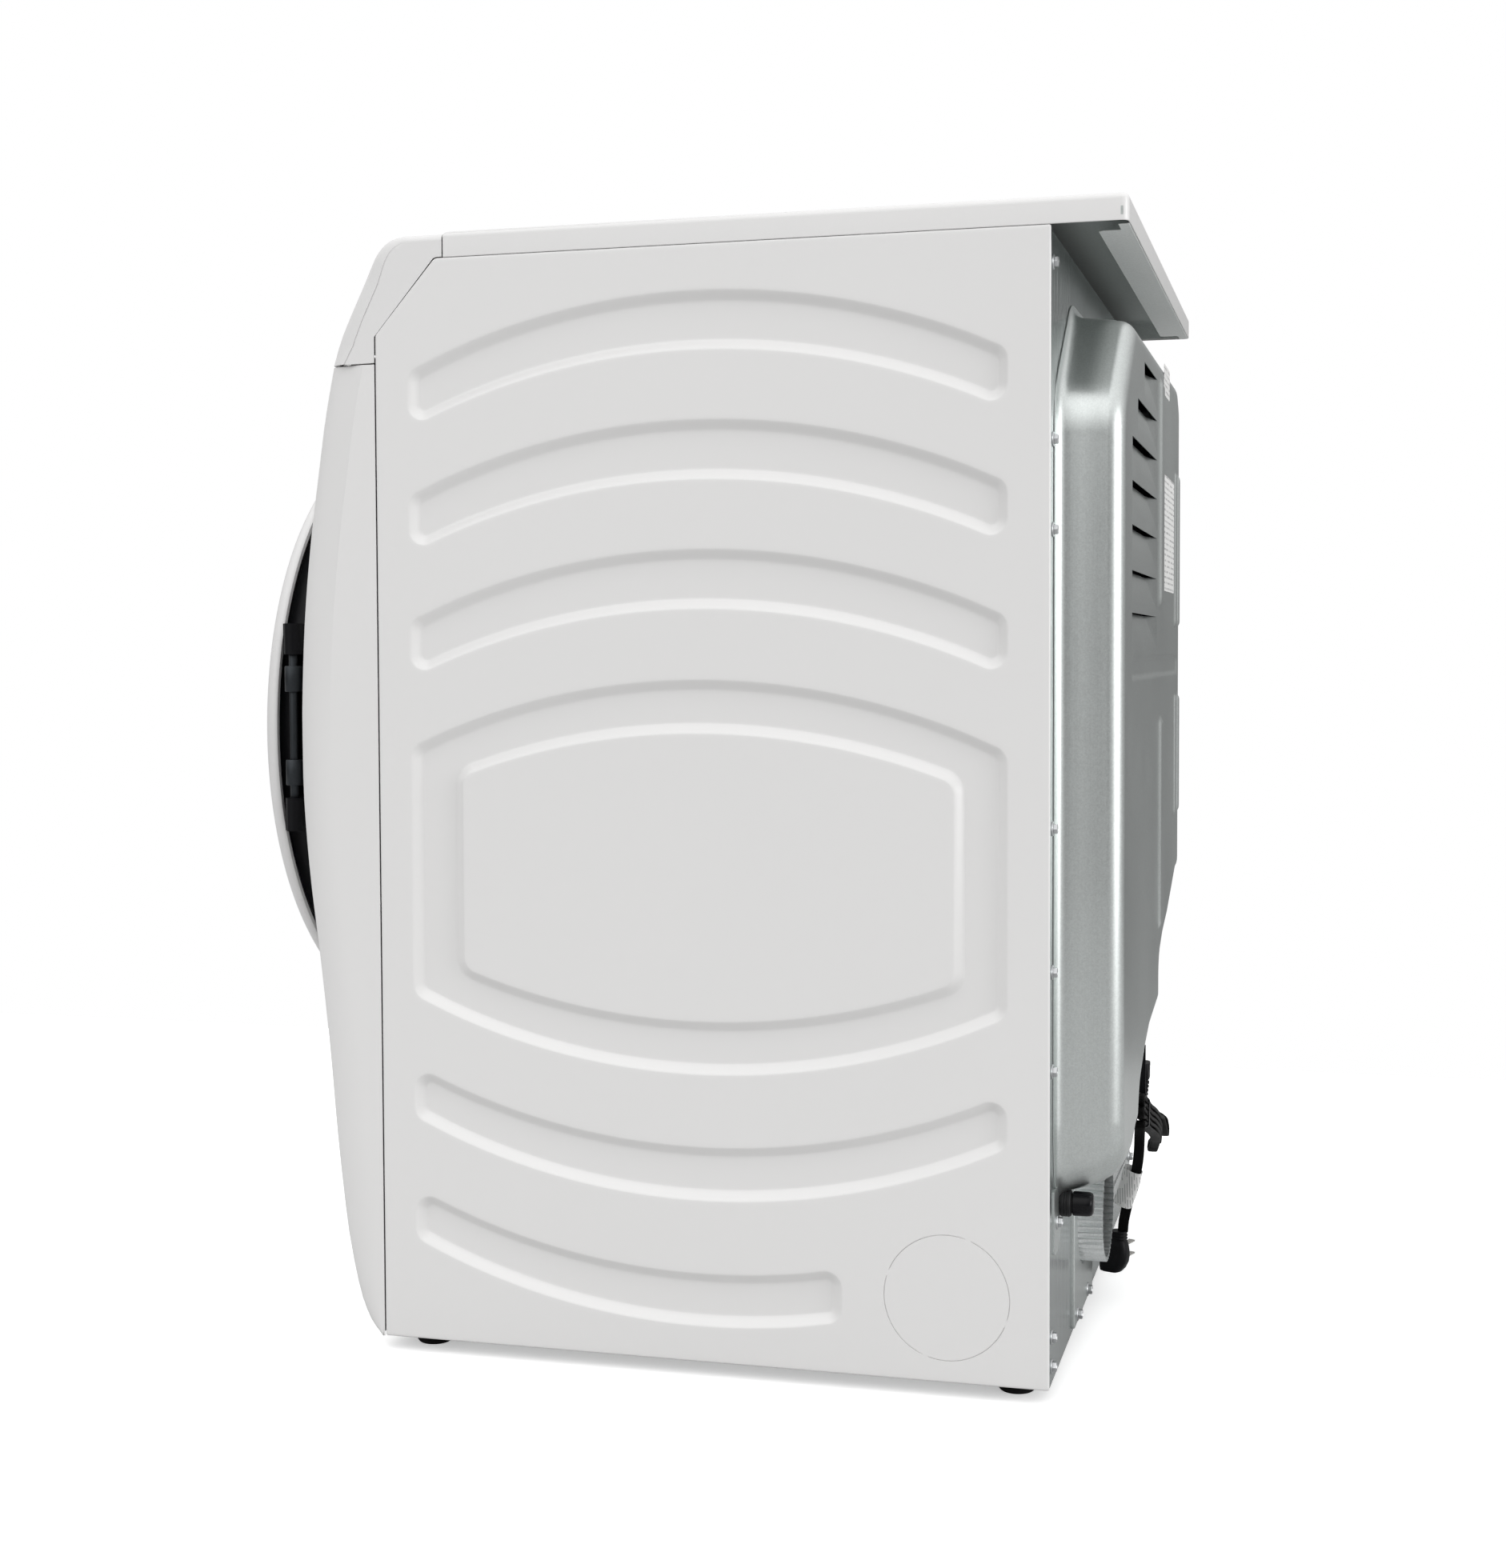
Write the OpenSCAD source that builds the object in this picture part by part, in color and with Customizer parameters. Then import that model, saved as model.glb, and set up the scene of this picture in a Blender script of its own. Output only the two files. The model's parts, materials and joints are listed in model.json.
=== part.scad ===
// Front-loading gas clothes dryer that vents at the rear.
// Origin: middle of the footprint, on the floor. +Z up, +Y to the rear, the door faces -Y.

/* [Cabinet] */
// Width over the side panels
cabinet_w = 711; // [708:1:714]
// Height from the floor to the top cover
cabinet_h = 1010; // [1008:1:1014]
// Depth over the door and the top cover
cabinet_d = 822; // [820:1:824]
// Depth of a side panel
side_d = 605.6; // [605:0.2:607]
// How far the top cover reaches past the rear panel
top_overhang = 63.4; // [62:0.2:65]
// Height of the side skirt of the top cover
skirt_h = 23; // [20:1:26]
// Thickness of the sheet steel
sheet_t = 1; // [0.8:0.1:1.2]
// Height of the levelling feet under the cabinet
foot_h = 13.6; // [13:0.2:15]

/* [Side panel pressing] */
// Depth of the pressed bands
band_depth = 6.5; // [5:0.5:7]
// Radius of the arcs that bound the bands
arc_r = 632; // [620:1:640]
// Radius of the vent knock-out
knockout_r = 54; // [52:1:56]

/* [Rear] */
// Depth of the rear cover
cover_d = 57; // [55:1:58]
// Outside radius of the exhaust duct
duct_r = 50.8; // [50:0.2:51]
// Outer radius of its crimped end
stub_r = 50.2; // [49:0.1:50.6]
// Sideways place of the exhaust duct
duct_x = 124; // [122:1:126]
// Height of the exhaust duct
duct_z = 115; // [113:1:117]
// Outside radius of the gas pipe
pipe_r = 8.6; // [8.4:0.1:8.8]

/* [Door] */
// Outside radius of the door ring
door_r = 298; // [296:1:299]
// Height of the door and drum axis
door_z = 562.6; // [560:0.2:565]
// Radius of the glass bowl
bowl_r = 160; // [155:1:162]
// Radius of the loading opening
throat_r = 191.5; // [188:0.5:193]

/* [Drum] */
// Outside radius of the drum
drum_r = 325; // [320:1:326]
// Length of the drum
drum_l = 554; // [552:1:555]
// Radius of a support roller
roller_r = 35; // [33:1:36]

/* [Drive] */
// Radius of the motor pulley
pulley_r = 12; // [11:1:13]
// Radius of the idler wheel
idler_r = 20; // [19:1:21]
// Radius of the motor body
motor_r = 52; // [50:1:53]
// Radius of the blower wheel
fan_r = 74; // [70:1:76]

/* [Hidden] */
$fn = 96;
gap = 0.3;
side_x = cabinet_w / 2;
inner_x = side_x - sheet_t;
rear_y = cabinet_d / 2 - top_overhang;
front_y = rear_y - side_d;
skin_y = rear_y - 1.2;
cover_y = rear_y + cover_d;
skirt_z = cabinet_h - skirt_h;
seam_y = rear_y - 540;
chamfer_z = skirt_z - 66;
chamfer_y = front_y + 58;
arc_y = rear_y - 305;
panel_top_z = 895;
bulkhead_y = rear_y - 600;
panel_face_y = rear_y - 687;
door_back_y = rear_y - 712;
hinge_x = 300;
hinge_y = rear_y - 718;
drum_front_y = rear_y - 572;
drum_rear_y = drum_front_y + drum_l;
shaft_x = 20;
shaft_z = 120;
shaft_r = 6;
belt_y = rear_y - 209;
belt_w = 8;
belt_t = 3;
roller_y = rear_y - 50;
roller_w = 20;
housing_t = 2.5;
roller_angle = 28;
burner_x = 262;
burner_z = 235;
burner_r = 48;
gas_x = 295;
gas_z = 159.5;
running = 0.05;
foot_x = 315;
foot_front_y = rear_y - 574;
foot_rear_y = rear_y - 33;
pan_z = 18;
pan_t = 1.2;
stud_r = 5;

// Drive geometry: the belt's left run leaves the pulley square to belt_normal.
drum_dx = -shaft_x;
drum_dz = door_z - shaft_z;
run_l = sqrt(drum_dx * drum_dx + drum_dz * drum_dz);
run_angle = atan2(drum_dz, drum_dx) + acos((pulley_r - drum_r) / run_l);
idler_out = pulley_r + belt_t + 2 * gap + idler_r;
idler_x = shaft_x + idler_out * cos(run_angle) + 70 * sin(run_angle);
idler_z = shaft_z + idler_out * sin(run_angle) - 70 * cos(run_angle);
pivot_x = 15;
pivot_z = 62;

// How far the front panel stands out in front of the side panels: height, distance
front_curve = [
    [foot_h, 6], [25, 18], [45, 27.5], [70, 34], [110, 41.5], [190, 50.5], [280, 58], [360, 66.5],
    [430, 75], [500, 80.5], [560, 81.5], [600, 81], [670, 77.5], [740, 70.5], [800, 62],
    [850, 54.5], [panel_top_z, 45.5]
];
// The same for the control panel
control_curve = [
    [panel_top_z + 1, 45.2], [923, 36.2], [965, 16], [990, 3.3], [998, -3], [1003, -9], [1006.5, -17],
    [cabinet_h - 2, -28]
];
// Outline of the rear cover: across, height
cover_outline = [
    [275, 185], [300, 191], [318, 208], [325, 235], [325, 848], [222, 930], [-275, 932], [-312, 905],
    [-312, 385], [-273, 385], [-157, 346], [-98, 332], [-62, 317], [-62, 275], [52, 263], [99, 250],
    [149, 229], [165, 199], [195, 195], [225, 185]
];
// Louvres of the rear cover: height, near end
louvres = [[900, 135], [860, 199], [822, 250], [784, 250], [745.6, 250], [706, 250], [669, 250]];
louvre_end_x = -10;
side_screw_x = 342;
side_screw_z = [31, 56, 282, 366, 487, 737, 812, 958];

// The flat cord: width, and its two free stretches on either side of the hank
cord_w = 10;
hank_far = [-182, 120];
hank_near = [103, 204];
hank_r = 15;
hank_y = rear_y + 52;
hank_t = 14;
relief_x = -170;
relief_y = rear_y + 30;
relief_z = 158;
lead_route = [
    [relief_x, relief_y, relief_z], [-170, rear_y + 31, 152], [-172, rear_y + 36, 146],
    [-175, rear_y + 44, 141], [-178, rear_y + 51, 136.5]
];
drop_route = [
    [93, rear_y + 51.5, 188], [82, rear_y + 50, 174], [70, rear_y + 48.5, 158], [58, rear_y + 46, 141],
    [48, rear_y + 42, 123], [41, rear_y + 37, 106], [35, rear_y + 33, 90], [31, rear_y + 30.5, 78],
    [30, rear_y + 29.5, 68]
];

// Draws children, laid out in (Y, Z), as a slab from x0 to x1.
module yz(x0, x1)
    translate([x0, 0, 0]) rotate([90, 0, 90]) linear_extrude(x1 - x0) children();

// Draws children, laid out in (X, Z), as a slab from y0 to y1.
module xz(y0, y1)
    translate([0, y1, 0]) rotate([90, 0, 0]) linear_extrude(y1 - y0) children();

// A rod along Y from y0 to y1.
module rod(x, z, y0, y1, r)
    translate([x, y1, z]) rotate([90, 0, 0]) cylinder(r = r, h = y1 - y0);

// A pipe along Y from y0 to y1.
module pipe(x, z, y0, y1, r_out, r_in)
    difference() {
        rod(x, z, y0, y1, r_out);
        rod(x, z, y0 - 1, y1 + 1, r_in);
    }

// A box between two corners.
module block(a, b)
    translate(a) cube([b[0] - a[0], b[1] - a[1], b[2] - a[2]]);

// A turned ring about the door axis; the profile is drawn as (radius, Y).
module turned()
    translate([0, 0, door_z]) rotate([90, 0, 0]) mirror([0, 0, 1]) rotate_extrude($fn = 160) children();

// ---- Cabinet ----

// A band between two arcs that rise in the middle, shrunk by m.
module band_up(top, low, y0, y1, m)
    intersection() {
        translate([rear_y + y0 + m, 0]) square([y1 - y0 - 2 * m, cabinet_h]);
        difference() {
            translate([arc_y, top - m - arc_r]) circle(r = arc_r, $fn = 180);
            translate([arc_y, low + m - arc_r]) circle(r = arc_r, $fn = 180);
        }
    }

// A band between two arcs that sag in the middle, shrunk by m.
module band_down(top, low, y0, y1, m)
    intersection() {
        translate([rear_y + y0 + m, 0]) square([y1 - y0 - 2 * m, cabinet_h]);
        difference() {
            translate([arc_y, low + m + arc_r]) circle(r = arc_r, $fn = 180);
            translate([arc_y, top - m + arc_r]) circle(r = arc_r, $fn = 180);
        }
    }

// The barrel-shaped loop between a rising arc and a sagging one.
module barrel(top, low, y0, y1, m)
    intersection() {
        translate([rear_y + y0 + m, 0]) square([y1 - y0 - 2 * m, cabinet_h]);
        translate([arc_y, top - m - arc_r]) circle(r = arc_r, $fn = 180);
        translate([arc_y, low + m + arc_r]) circle(r = arc_r, $fn = 180);
    }

// All pressed bands of a side panel, shrunk by m.
module bands(m) {
    for (i = [0:2]) band_up(948 - 111 * i, 896 - 111.5 * i, -575, -35, m);
    difference() {
        barrel(613, 267, -575, -35, m);
        barrel(565, 315, -524, -82, -m);
    }
    band_down(204.6, 156, -575, -35, m);
    band_down(93, 45, -575, -178, m);
}

module side_outline()
    polygon([
        [front_y, foot_h], [rear_y, foot_h], [rear_y, skirt_z], [chamfer_y, skirt_z],
        [front_y, chamfer_z]
    ]);

// The round vent knock-out is cut almost free and hangs on four small bridges.
module knockout_cut()
    difference() {
        translate([rear_y - 87.5, 86.7]) circle(r = knockout_r + 0.4);
        translate([rear_y - 87.5, 86.7]) circle(r = knockout_r - 0.4);
        for (a = [20:90:290])
            translate([rear_y - 87.5, 86.7]) rotate(a) translate([knockout_r - 3, -2]) square([6, 4]);
    }

module side_panel()
    difference() {
        union() {
            yz(inner_x, side_x) side_outline();
            yz(side_x - band_depth - sheet_t, side_x) bands(-sheet_t);
        }
        yz(side_x - band_depth, side_x + 1) bands(0);
        yz(inner_x - 1, side_x + 1) knockout_cut();
    }

module side_panel_right()
    color("whitesmoke") side_panel();

module side_panel_left()
    color("whitesmoke") mirror([1, 0, 0]) side_panel();

module base_pan()
    color("silver") {
        difference() {
            block([-inner_x, front_y + 2, pan_z], [inner_x, skin_y, 40]);
            block([-inner_x + pan_t, front_y + 2 + pan_t, pan_z + pan_t],
                [inner_x - pan_t, skin_y - pan_t, 41]);
            for (x = [-foot_x, foot_x], y = [foot_front_y, foot_rear_y])
                translate([x, y, 0]) cylinder(r = stud_r + 1, h = 30);
            // Clearance for the lowest screws of the rear panel
            for (x = [-side_screw_x, side_screw_x]) rod(x, side_screw_z[0], skin_y - 3, skin_y + 1, 2.5);
        }
        // Upright that carries the pivot of the idler arm
        block([3, rear_y - 178, pan_z + pan_t], [27, rear_y - 175, pivot_z + 12]);
        rod(pivot_x, pivot_z, rear_y - 191, rear_y - 178, stud_r);
    }

// Heads fit the nuts; the pad is wider at the top than at the floor.
module foot(x, y)
    color("#1c1c1c") translate([x, y, 0]) {
        cylinder(r1 = 15, r2 = 21, h = foot_h - 4);
        translate([0, 0, foot_h - 4]) cylinder(r = 21, h = 4);
        cylinder(r = stud_r, h = 38);
    }

module foot_front_left() foot(-foot_x, foot_front_y);
module foot_front_right() foot(foot_x, foot_front_y);
module foot_rear_left() foot(-foot_x, foot_rear_y);
module foot_rear_right() foot(foot_x, foot_rear_y);

module foot_nuts()
    color("silver") for (x = [-foot_x, foot_x], y = [foot_front_y, foot_rear_y])
        translate([x, y, pan_z + pan_t]) difference() {
            cylinder(r = 9.5, h = 8, $fn = 6);
            translate([0, 0, -1]) cylinder(r = stud_r + running, h = 10);
        }

// Places children at each screw that holds the rear panel's edges.
module at_side_screws()
    for (x = [-side_screw_x, side_screw_x], z = side_screw_z) translate([x, 0, z]) children();

module rear_panel()
    color("darkgray") difference() {
        block([-inner_x + 0.6, skin_y, foot_h + 1], [inner_x - 0.6, rear_y, skirt_z - 3]);
        rod(duct_x, duct_z, skin_y - 1, rear_y + 1, duct_r + 0.4);
        rod(gas_x, gas_z, skin_y - 1, rear_y + 1, pipe_r + 0.2);
        rod(burner_x, burner_z, skin_y - 1, rear_y + 1, burner_r - 1.2);
        rod(relief_x, 190, skin_y - 1, rear_y + 1, 8);
        for (i = [-6:6])
            block([-150, skin_y - 1, door_z + 24 * i - 4], [150, rear_y + 1, door_z + 24 * i + 4]);
        at_side_screws() rod(0, 0, skin_y - 1, rear_y + 1, 2.25);
    }

module cover_shape() polygon(cover_outline);

module rear_cover()
    color("darkgray") difference() {
        union() {
            xz(rear_y, cover_y) cover_shape();
            xz(rear_y, rear_y + 1) offset(delta = 9) cover_shape();
        }
        xz(rear_y - 1, cover_y - 1) offset(delta = -1) cover_shape();
        for (l = louvres) block([louvre_end_x, cover_y - 5, l[0] - 12], [l[1], cover_y + 1, l[0]]);
    }

module access_panel()
    color("darkgray") difference() {
        block([58, rear_y, 20], [203, rear_y + 3, 168]);
        block([60, rear_y - 1, 22], [201, rear_y + 2, 166]);
        rod(duct_x, duct_z, rear_y - 1, rear_y + 4, duct_r + 0.4);
        for (x = [100, 180]) rod(x, 28, rear_y, rear_y + 4, 2.25);
    }

// A washer-faced hex screw along Y with its head on the plane y.
module screw(x, y, z, shank)
    translate([x, y, z]) rotate([-90, 0, 0]) {
        cylinder(r = 6, h = 1);
        translate([0, 0, 1]) cylinder(r = 4.4, h = 3.6, $fn = 6);
        translate([0, 0, -shank]) cylinder(r = 2.2, h = shank);
    }

module rear_screws()
    color("silver") {
        for (x = [-side_screw_x, side_screw_x], z = side_screw_z) screw(x, rear_y, z, 8);
        for (x = [100, 180]) screw(x, rear_y + 3, 28, 2.8);
    }

module top_cover()
    color("white") {
        difference() {
            block([-side_x, seam_y, skirt_z], [side_x, cabinet_d / 2, cabinet_h]);
            block([-inner_x, seam_y + sheet_t, skirt_z - 1],
                [inner_x, cabinet_d / 2 - sheet_t, cabinet_h - sheet_t]);
        }
        // Return hem of the rear skirt
        block([-side_x + 10, cabinet_d / 2 - 20, skirt_z - 1.5], [side_x - 10, cabinet_d / 2, skirt_z]);
    }

// ---- Front ----

module front_outline(curve, top, back)
    polygon(concat([[back, curve[0][0]]], [for (p = curve) [front_y - p[1], p[0]]], [[back, top]]));

module front_shell(curve, low, top, back, t)
    difference() {
        yz(-side_x, side_x) front_outline(curve, top, back);
        yz(-side_x + t, side_x - t) intersection() {
            translate([t, 0]) front_outline(curve, top, back);
            translate([front_y - 100, low + t]) square([400, top - low - 2 * t]);
        }
    }

module front_panel()
    color("white") difference() {
        front_shell(front_curve, foot_h, panel_top_z, front_y - gap, sheet_t);
        rod(0, door_z, front_y - 120, front_y, throat_r + 4);
        // Slot for the latch
        block([-268, front_y - 120, door_z - 13], [-256, front_y, door_z + 13]);
    }

// Outline of the housing's cheeks: the side panels run up between them.
module control_outline()
    difference() {
        front_outline(control_curve, cabinet_h - 2, seam_y - gap);
        polygon([
            [front_y - gap, 0], [front_y - gap, chamfer_z + gap], [chamfer_y - gap, skirt_z + gap],
            [rear_y, skirt_z + gap], [rear_y, 0]
        ]);
    }

module control_panel()
    color("white") {
        difference() {
            yz(-side_x, side_x) difference() {
                control_outline();
                intersection() {
                    translate([housing_t, 0]) front_outline(control_curve, cabinet_h - 2, seam_y);
                    translate([front_y - 100, panel_top_z + housing_t])
                        square([400, cabinet_h - 2 - panel_top_z - 2 * housing_t]);
                }
            }
            on_slope() translate([-fascia_w / 2 - gap, -fascia_h / 2 - gap, -20])
                cube([fascia_w + 2 * gap, fascia_h + 2 * gap, 40]);
        }
        for (x = [-side_x, side_x - housing_t]) yz(x, x + housing_t) control_outline();
    }

// Middle of the sloping face; local Z points out of it and local Y runs up it.
slope_z = 944;
slope_y = front_y - 26.1;
slope_tilt = 64.3;
fascia_w = 640;
fascia_h = 62;
module on_slope()
    translate([0, slope_y, slope_z]) rotate([slope_tilt, 0, 0]) children();

knob_r = 27;
button_r = 9;
button_x = [-250, 250, 110, 160, 205];
module control_fascia()
    color("#202124") on_slope() difference() {
        translate([-fascia_w / 2, -fascia_h / 2, -2.5]) cube([fascia_w, fascia_h, 3]);
        translate([0, 0, -3]) cylinder(r = 4.3, h = 5);
        for (x = button_x) translate([x, 0, -3]) cylinder(r = button_r + gap, h = 5);
    }

module cycle_knob()
    color("silver") on_slope() {
        translate([0, 0, 0.9]) cylinder(r1 = knob_r + 1, r2 = knob_r - 1, h = 15);
        translate([0, 0, -10]) cylinder(r = 4, h = 11);
        translate([-1.2, knob_r - 12, 15.5]) cube([2.4, 9, 1.2]);
    }

module button(i)
    color("gainsboro") on_slope() translate([button_x[i], 0, -8]) cylinder(r = button_r, h = 10.5);
module power_button() button(0);
module start_button() button(1);
module option_button_1() button(2);
module option_button_2() button(3);
module option_button_3() button(4);

// Bulkhead whose lip carries the front felt, and a flanged collar that lines the loading opening
module front_bulkhead()
    color("silver") {
        difference() {
            union() {
                block([-inner_x, bulkhead_y, 41], [inner_x, bulkhead_y + 1.2, panel_top_z]);
                rod(0, door_z, bulkhead_y, bulkhead_y + 26, throat_r + 8);
            }
            rod(0, door_z, bulkhead_y - 1, bulkhead_y + 30, throat_r + 6.8);
            rod(shaft_x, shaft_z, bulkhead_y - 1, bulkhead_y + 2, 54.4);
        }
        difference() {
            union() {
                rod(0, door_z, panel_face_y + 0.5, bulkhead_y - 0.1, throat_r + 2);
                rod(0, door_z, bulkhead_y - 1.3, bulkhead_y - 0.1, throat_r + 10);
            }
            rod(0, door_z, panel_face_y - 1, bulkhead_y + 1, throat_r);
            // Slot that the lint filter slides through
            block([-84, bulkhead_y - 34, 330], [84, bulkhead_y - 4, 420]);
            block([-88, bulkhead_y - 5, 330], [88, bulkhead_y, 366.5]);
        }
    }

module door_seal()
    color("dimgray") pipe(0, door_z, door_back_y + 0.5, panel_face_y + 0.5, throat_r + 11, throat_r + 1);

module door_switch()
    color("ivory") block([-286, panel_face_y + 4, door_z - 18], [-270, panel_face_y + 30, door_z + 18]);

// ---- Door ----

module hinge_bracket()
    color("gray") difference() {
        union() {
            block([262, hinge_y + 18, door_z - 60], [298, hinge_y + 22, door_z + 71]);
            for (z = [door_z - 50, door_z + 38]) {
                translate([hinge_x, hinge_y, z]) cylinder(r = 8, h = 24);
                block([hinge_x - 7, hinge_y, z], [hinge_x + 1, hinge_y + 20, z + 24]);
            }
            // Feet that stand on the front panel
            for (z = [door_z - 58, door_z + 55])
                block([264, hinge_y + 22, z], [294, panel_face_y + 1.3, z + 14]);
        }
        translate([hinge_x, hinge_y, door_z - 60]) cylinder(r = 4 + running, h = 150);
    }

module hinge_pin()
    color("silver") translate([hinge_x, hinge_y, door_z - 88]) cylinder(r = 4, h = 183);

module door_ring()
    color("white") turned() polygon([
        [door_r, hinge_y - 23], [door_r - 2, hinge_y - 29], [door_r - 10, hinge_y - 34.5],
        [door_r - 28, hinge_y - 38.6], [door_r - 50, hinge_y - 40.6], [238, hinge_y - 39],
        [238, hinge_y - 30], [door_r - 30, hinge_y - 29], [door_r - 12, hinge_y - 24],
        [door_r - 6, hinge_y - 19], [door_r - 1, hinge_y - 19]
    ]);

module door_lens()
    color("#30343a") turned() polygon([
        [0, hinge_y - 34], [120, hinge_y - 35], [200, hinge_y - 36.5], [237.5, hinge_y - 38],
        [237.5, hinge_y - 33.5], [200, hinge_y - 32], [120, hinge_y - 30.5], [0, hinge_y - 29.5]
    ]);

module door_frame()
    color("#17181a") difference() {
        union() {
            turned() polygon([
                [bowl_r + 4, door_back_y], [bowl_r + 4, hinge_y - 28], [bowl_r + 8, hinge_y - 28],
                [bowl_r + 8, door_back_y - 4], [262, door_back_y - 4], [262, hinge_y - 27.5],
                [268, hinge_y - 27.5], [285, hinge_y - 22.5], [285, door_back_y - 3], [280, door_back_y]
            ]);
            for (z = [[-93, -62], [73, 102]]) {
                translate([hinge_x, hinge_y, door_z + z[0]]) cylinder(r = 8, h = z[1] - z[0]);
                block([246, hinge_y - 10, door_z + z[0]], [hinge_x, hinge_y + 8, door_z + z[1]]);
            }
        }
        // Relief around the fixed bracket
        block([255, hinge_y - 12, door_z - 62], [310, hinge_y + 30, door_z + 73]);
        translate([hinge_x, hinge_y, door_z - 88]) cylinder(r = 4, h = 183);
    }

module door_bowl()
    color("#9fb4bf") turned() polygon([
        [bowl_r + 3.7, hinge_y - 27], [bowl_r + 3.7, door_back_y + 2], [bowl_r - 2, hinge_y + 50],
        [bowl_r - 20, hinge_y + 74], [bowl_r - 45, hinge_y + 78], [0, hinge_y + 66], [0, hinge_y + 62],
        [bowl_r - 46, hinge_y + 74], [bowl_r - 23, hinge_y + 70], [bowl_r - 6, hinge_y + 48],
        [bowl_r - 0.5, door_back_y], [bowl_r - 0.5, hinge_y - 27]
    ]);

module door_latch()
    color("silver") {
        block([-265, door_back_y, door_z - 9], [-259, door_back_y + 34, door_z + 9]);
        block([-259, door_back_y + 26, door_z - 9], [-257.5, door_back_y + 34, door_z + 9]);
    }

// ---- Drum and drive ----

module drum()
    color("gainsboro") difference() {
        union() {
            rod(0, door_z, drum_front_y, drum_rear_y, drum_r);
            rod(0, door_z, drum_front_y - 16, drum_front_y, throat_r + 18);
        }
        rod(0, door_z, drum_front_y + 1, drum_rear_y + 1, drum_r - 1);
        rod(0, door_z, drum_front_y - 20, drum_front_y + 4, throat_r + 17);
    }

module drum_baffles()
    color("lightgray") for (a = [30, 150, 270])
        intersection() {
            rod(0, door_z, drum_front_y + 30, drum_rear_y - 45, drum_r - 1);
            translate([0, 0, door_z]) rotate([0, a, 0]) xz(drum_front_y, drum_rear_y)
                polygon([[-45, 330], [-22, 262], [-10, 250], [10, 250], [22, 262], [45, 330]]);
        }

module drum_felts()
    color("beige") {
        pipe(0, door_z, bulkhead_y + 13, bulkhead_y + 25, throat_r + 16.7, throat_r + 8);
        pipe(0, door_z, skin_y - 21, skin_y, drum_r - 1.3, drum_r - 14);
    }

roller_x = (drum_r + roller_r + gap) * sin(roller_angle);
roller_z = door_z - (drum_r + roller_r + gap) * cos(roller_angle);
module roller_shafts()
    color("silver") for (x = [-roller_x, roller_x]) {
        rod(x, roller_z, roller_y - 4, skin_y, shaft_r);
        rod(x, roller_z, roller_y + roller_w + 1, roller_y + roller_w + 4, shaft_r + 4);
    }
module roller(x)
    color("#2b2b2b") difference() {
        rod(x, roller_z, roller_y, roller_y + roller_w, roller_r);
        rod(x, roller_z, roller_y - 1, roller_y + roller_w + 1, shaft_r + running);
    }
module roller_left() roller(-roller_x);
module roller_right() roller(roller_x);

module motor()
    color("slategray") difference() {
        union() {
            rod(shaft_x, shaft_z, rear_y - 440, rear_y - 240, motor_r);
            block([shaft_x - 50, rear_y - 400, pan_z + pan_t], [shaft_x + 50, rear_y - 280, shaft_z - 20]);
        }
        rod(shaft_x, shaft_z, rear_y - 450, rear_y - 230, shaft_r + running);
    }

module motor_shaft()
    color("silver") {
        rod(shaft_x, shaft_z, rear_y - 552, rear_y - 194, shaft_r);
        difference() {
            rod(shaft_x, shaft_z, belt_y - 10, belt_y + 10, pulley_r + 3);
            pipe(shaft_x, shaft_z, belt_y - 5, belt_y + 5, pulley_r + 5, pulley_r);
        }
    }

// A 2D band that wraps the drum and the pulley at a distance m from each.
module belt_line(m)
    hull() {
        translate([0, door_z]) circle(r = drum_r + m, $fn = 128);
        translate([shaft_x, shaft_z]) circle(r = pulley_r + m, $fn = 32);
    }
module drive_belt()
    color("#202020") xz(belt_y - belt_w / 2, belt_y + belt_w / 2) difference() {
        belt_line(gap + belt_t);
        belt_line(gap);
    }

module idler_arm()
    color("silver") {
        difference() {
            xz(rear_y - 190, rear_y - 187) difference() {
                hull() {
                    translate([pivot_x, pivot_z]) circle(r = 12);
                    translate([idler_x, idler_z]) circle(r = 10);
                }
                translate([pivot_x, pivot_z]) circle(r = 3);
            }
            rod(pivot_x, pivot_z, rear_y - 192, rear_y - 185, stud_r + running);
        }
        rod(idler_x, idler_z, belt_y - 12, rear_y - 188, stud_r);
    }

module idler_wheel()
    color("#303030") difference() {
        rod(idler_x, idler_z, belt_y - 9, belt_y + 9, idler_r);
        rod(idler_x, idler_z, belt_y - 10, belt_y + 10, stud_r + running);
    }

// ---- Air and gas ----

fan_front_y = rear_y - 560;
fan_rear_y = rear_y - 470;
module blower_housing()
    color("gray") difference() {
        union() {
            rod(shaft_x, shaft_z, fan_front_y, fan_rear_y, fan_r + 10);
            rod(duct_x, duct_z, fan_front_y, fan_rear_y, duct_r + 4);
            block([shaft_x, fan_front_y, shaft_z - fan_r - 10], [duct_x, fan_rear_y, shaft_z - 20]);
        }
        rod(shaft_x, shaft_z, fan_front_y + 3, fan_rear_y - 3, fan_r + 7);
        rod(duct_x, duct_z, fan_front_y + 3, fan_rear_y + 1, duct_r - 0.8);
        rod(shaft_x, shaft_z, fan_front_y - 1, fan_rear_y, 54);
        rod(shaft_x, shaft_z, fan_rear_y - 5, fan_rear_y + 1, shaft_r + 3);
    }

module blower_wheel()
    color("lightgray") {
        difference() {
            union() {
                rod(shaft_x, shaft_z, fan_rear_y - 11, fan_rear_y - 7, fan_r);
                rod(shaft_x, shaft_z, fan_rear_y - 40, fan_rear_y - 8, 16);
            }
            rod(shaft_x, shaft_z, fan_rear_y - 50, fan_rear_y, shaft_r);
        }
        for (a = [0:20:340])
            translate([shaft_x, 0, shaft_z]) rotate([0, a, 0])
                block([fan_r - 16, fan_front_y + 8, -1], [fan_r - 1, fan_rear_y - 8, 1]);
    }

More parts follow.
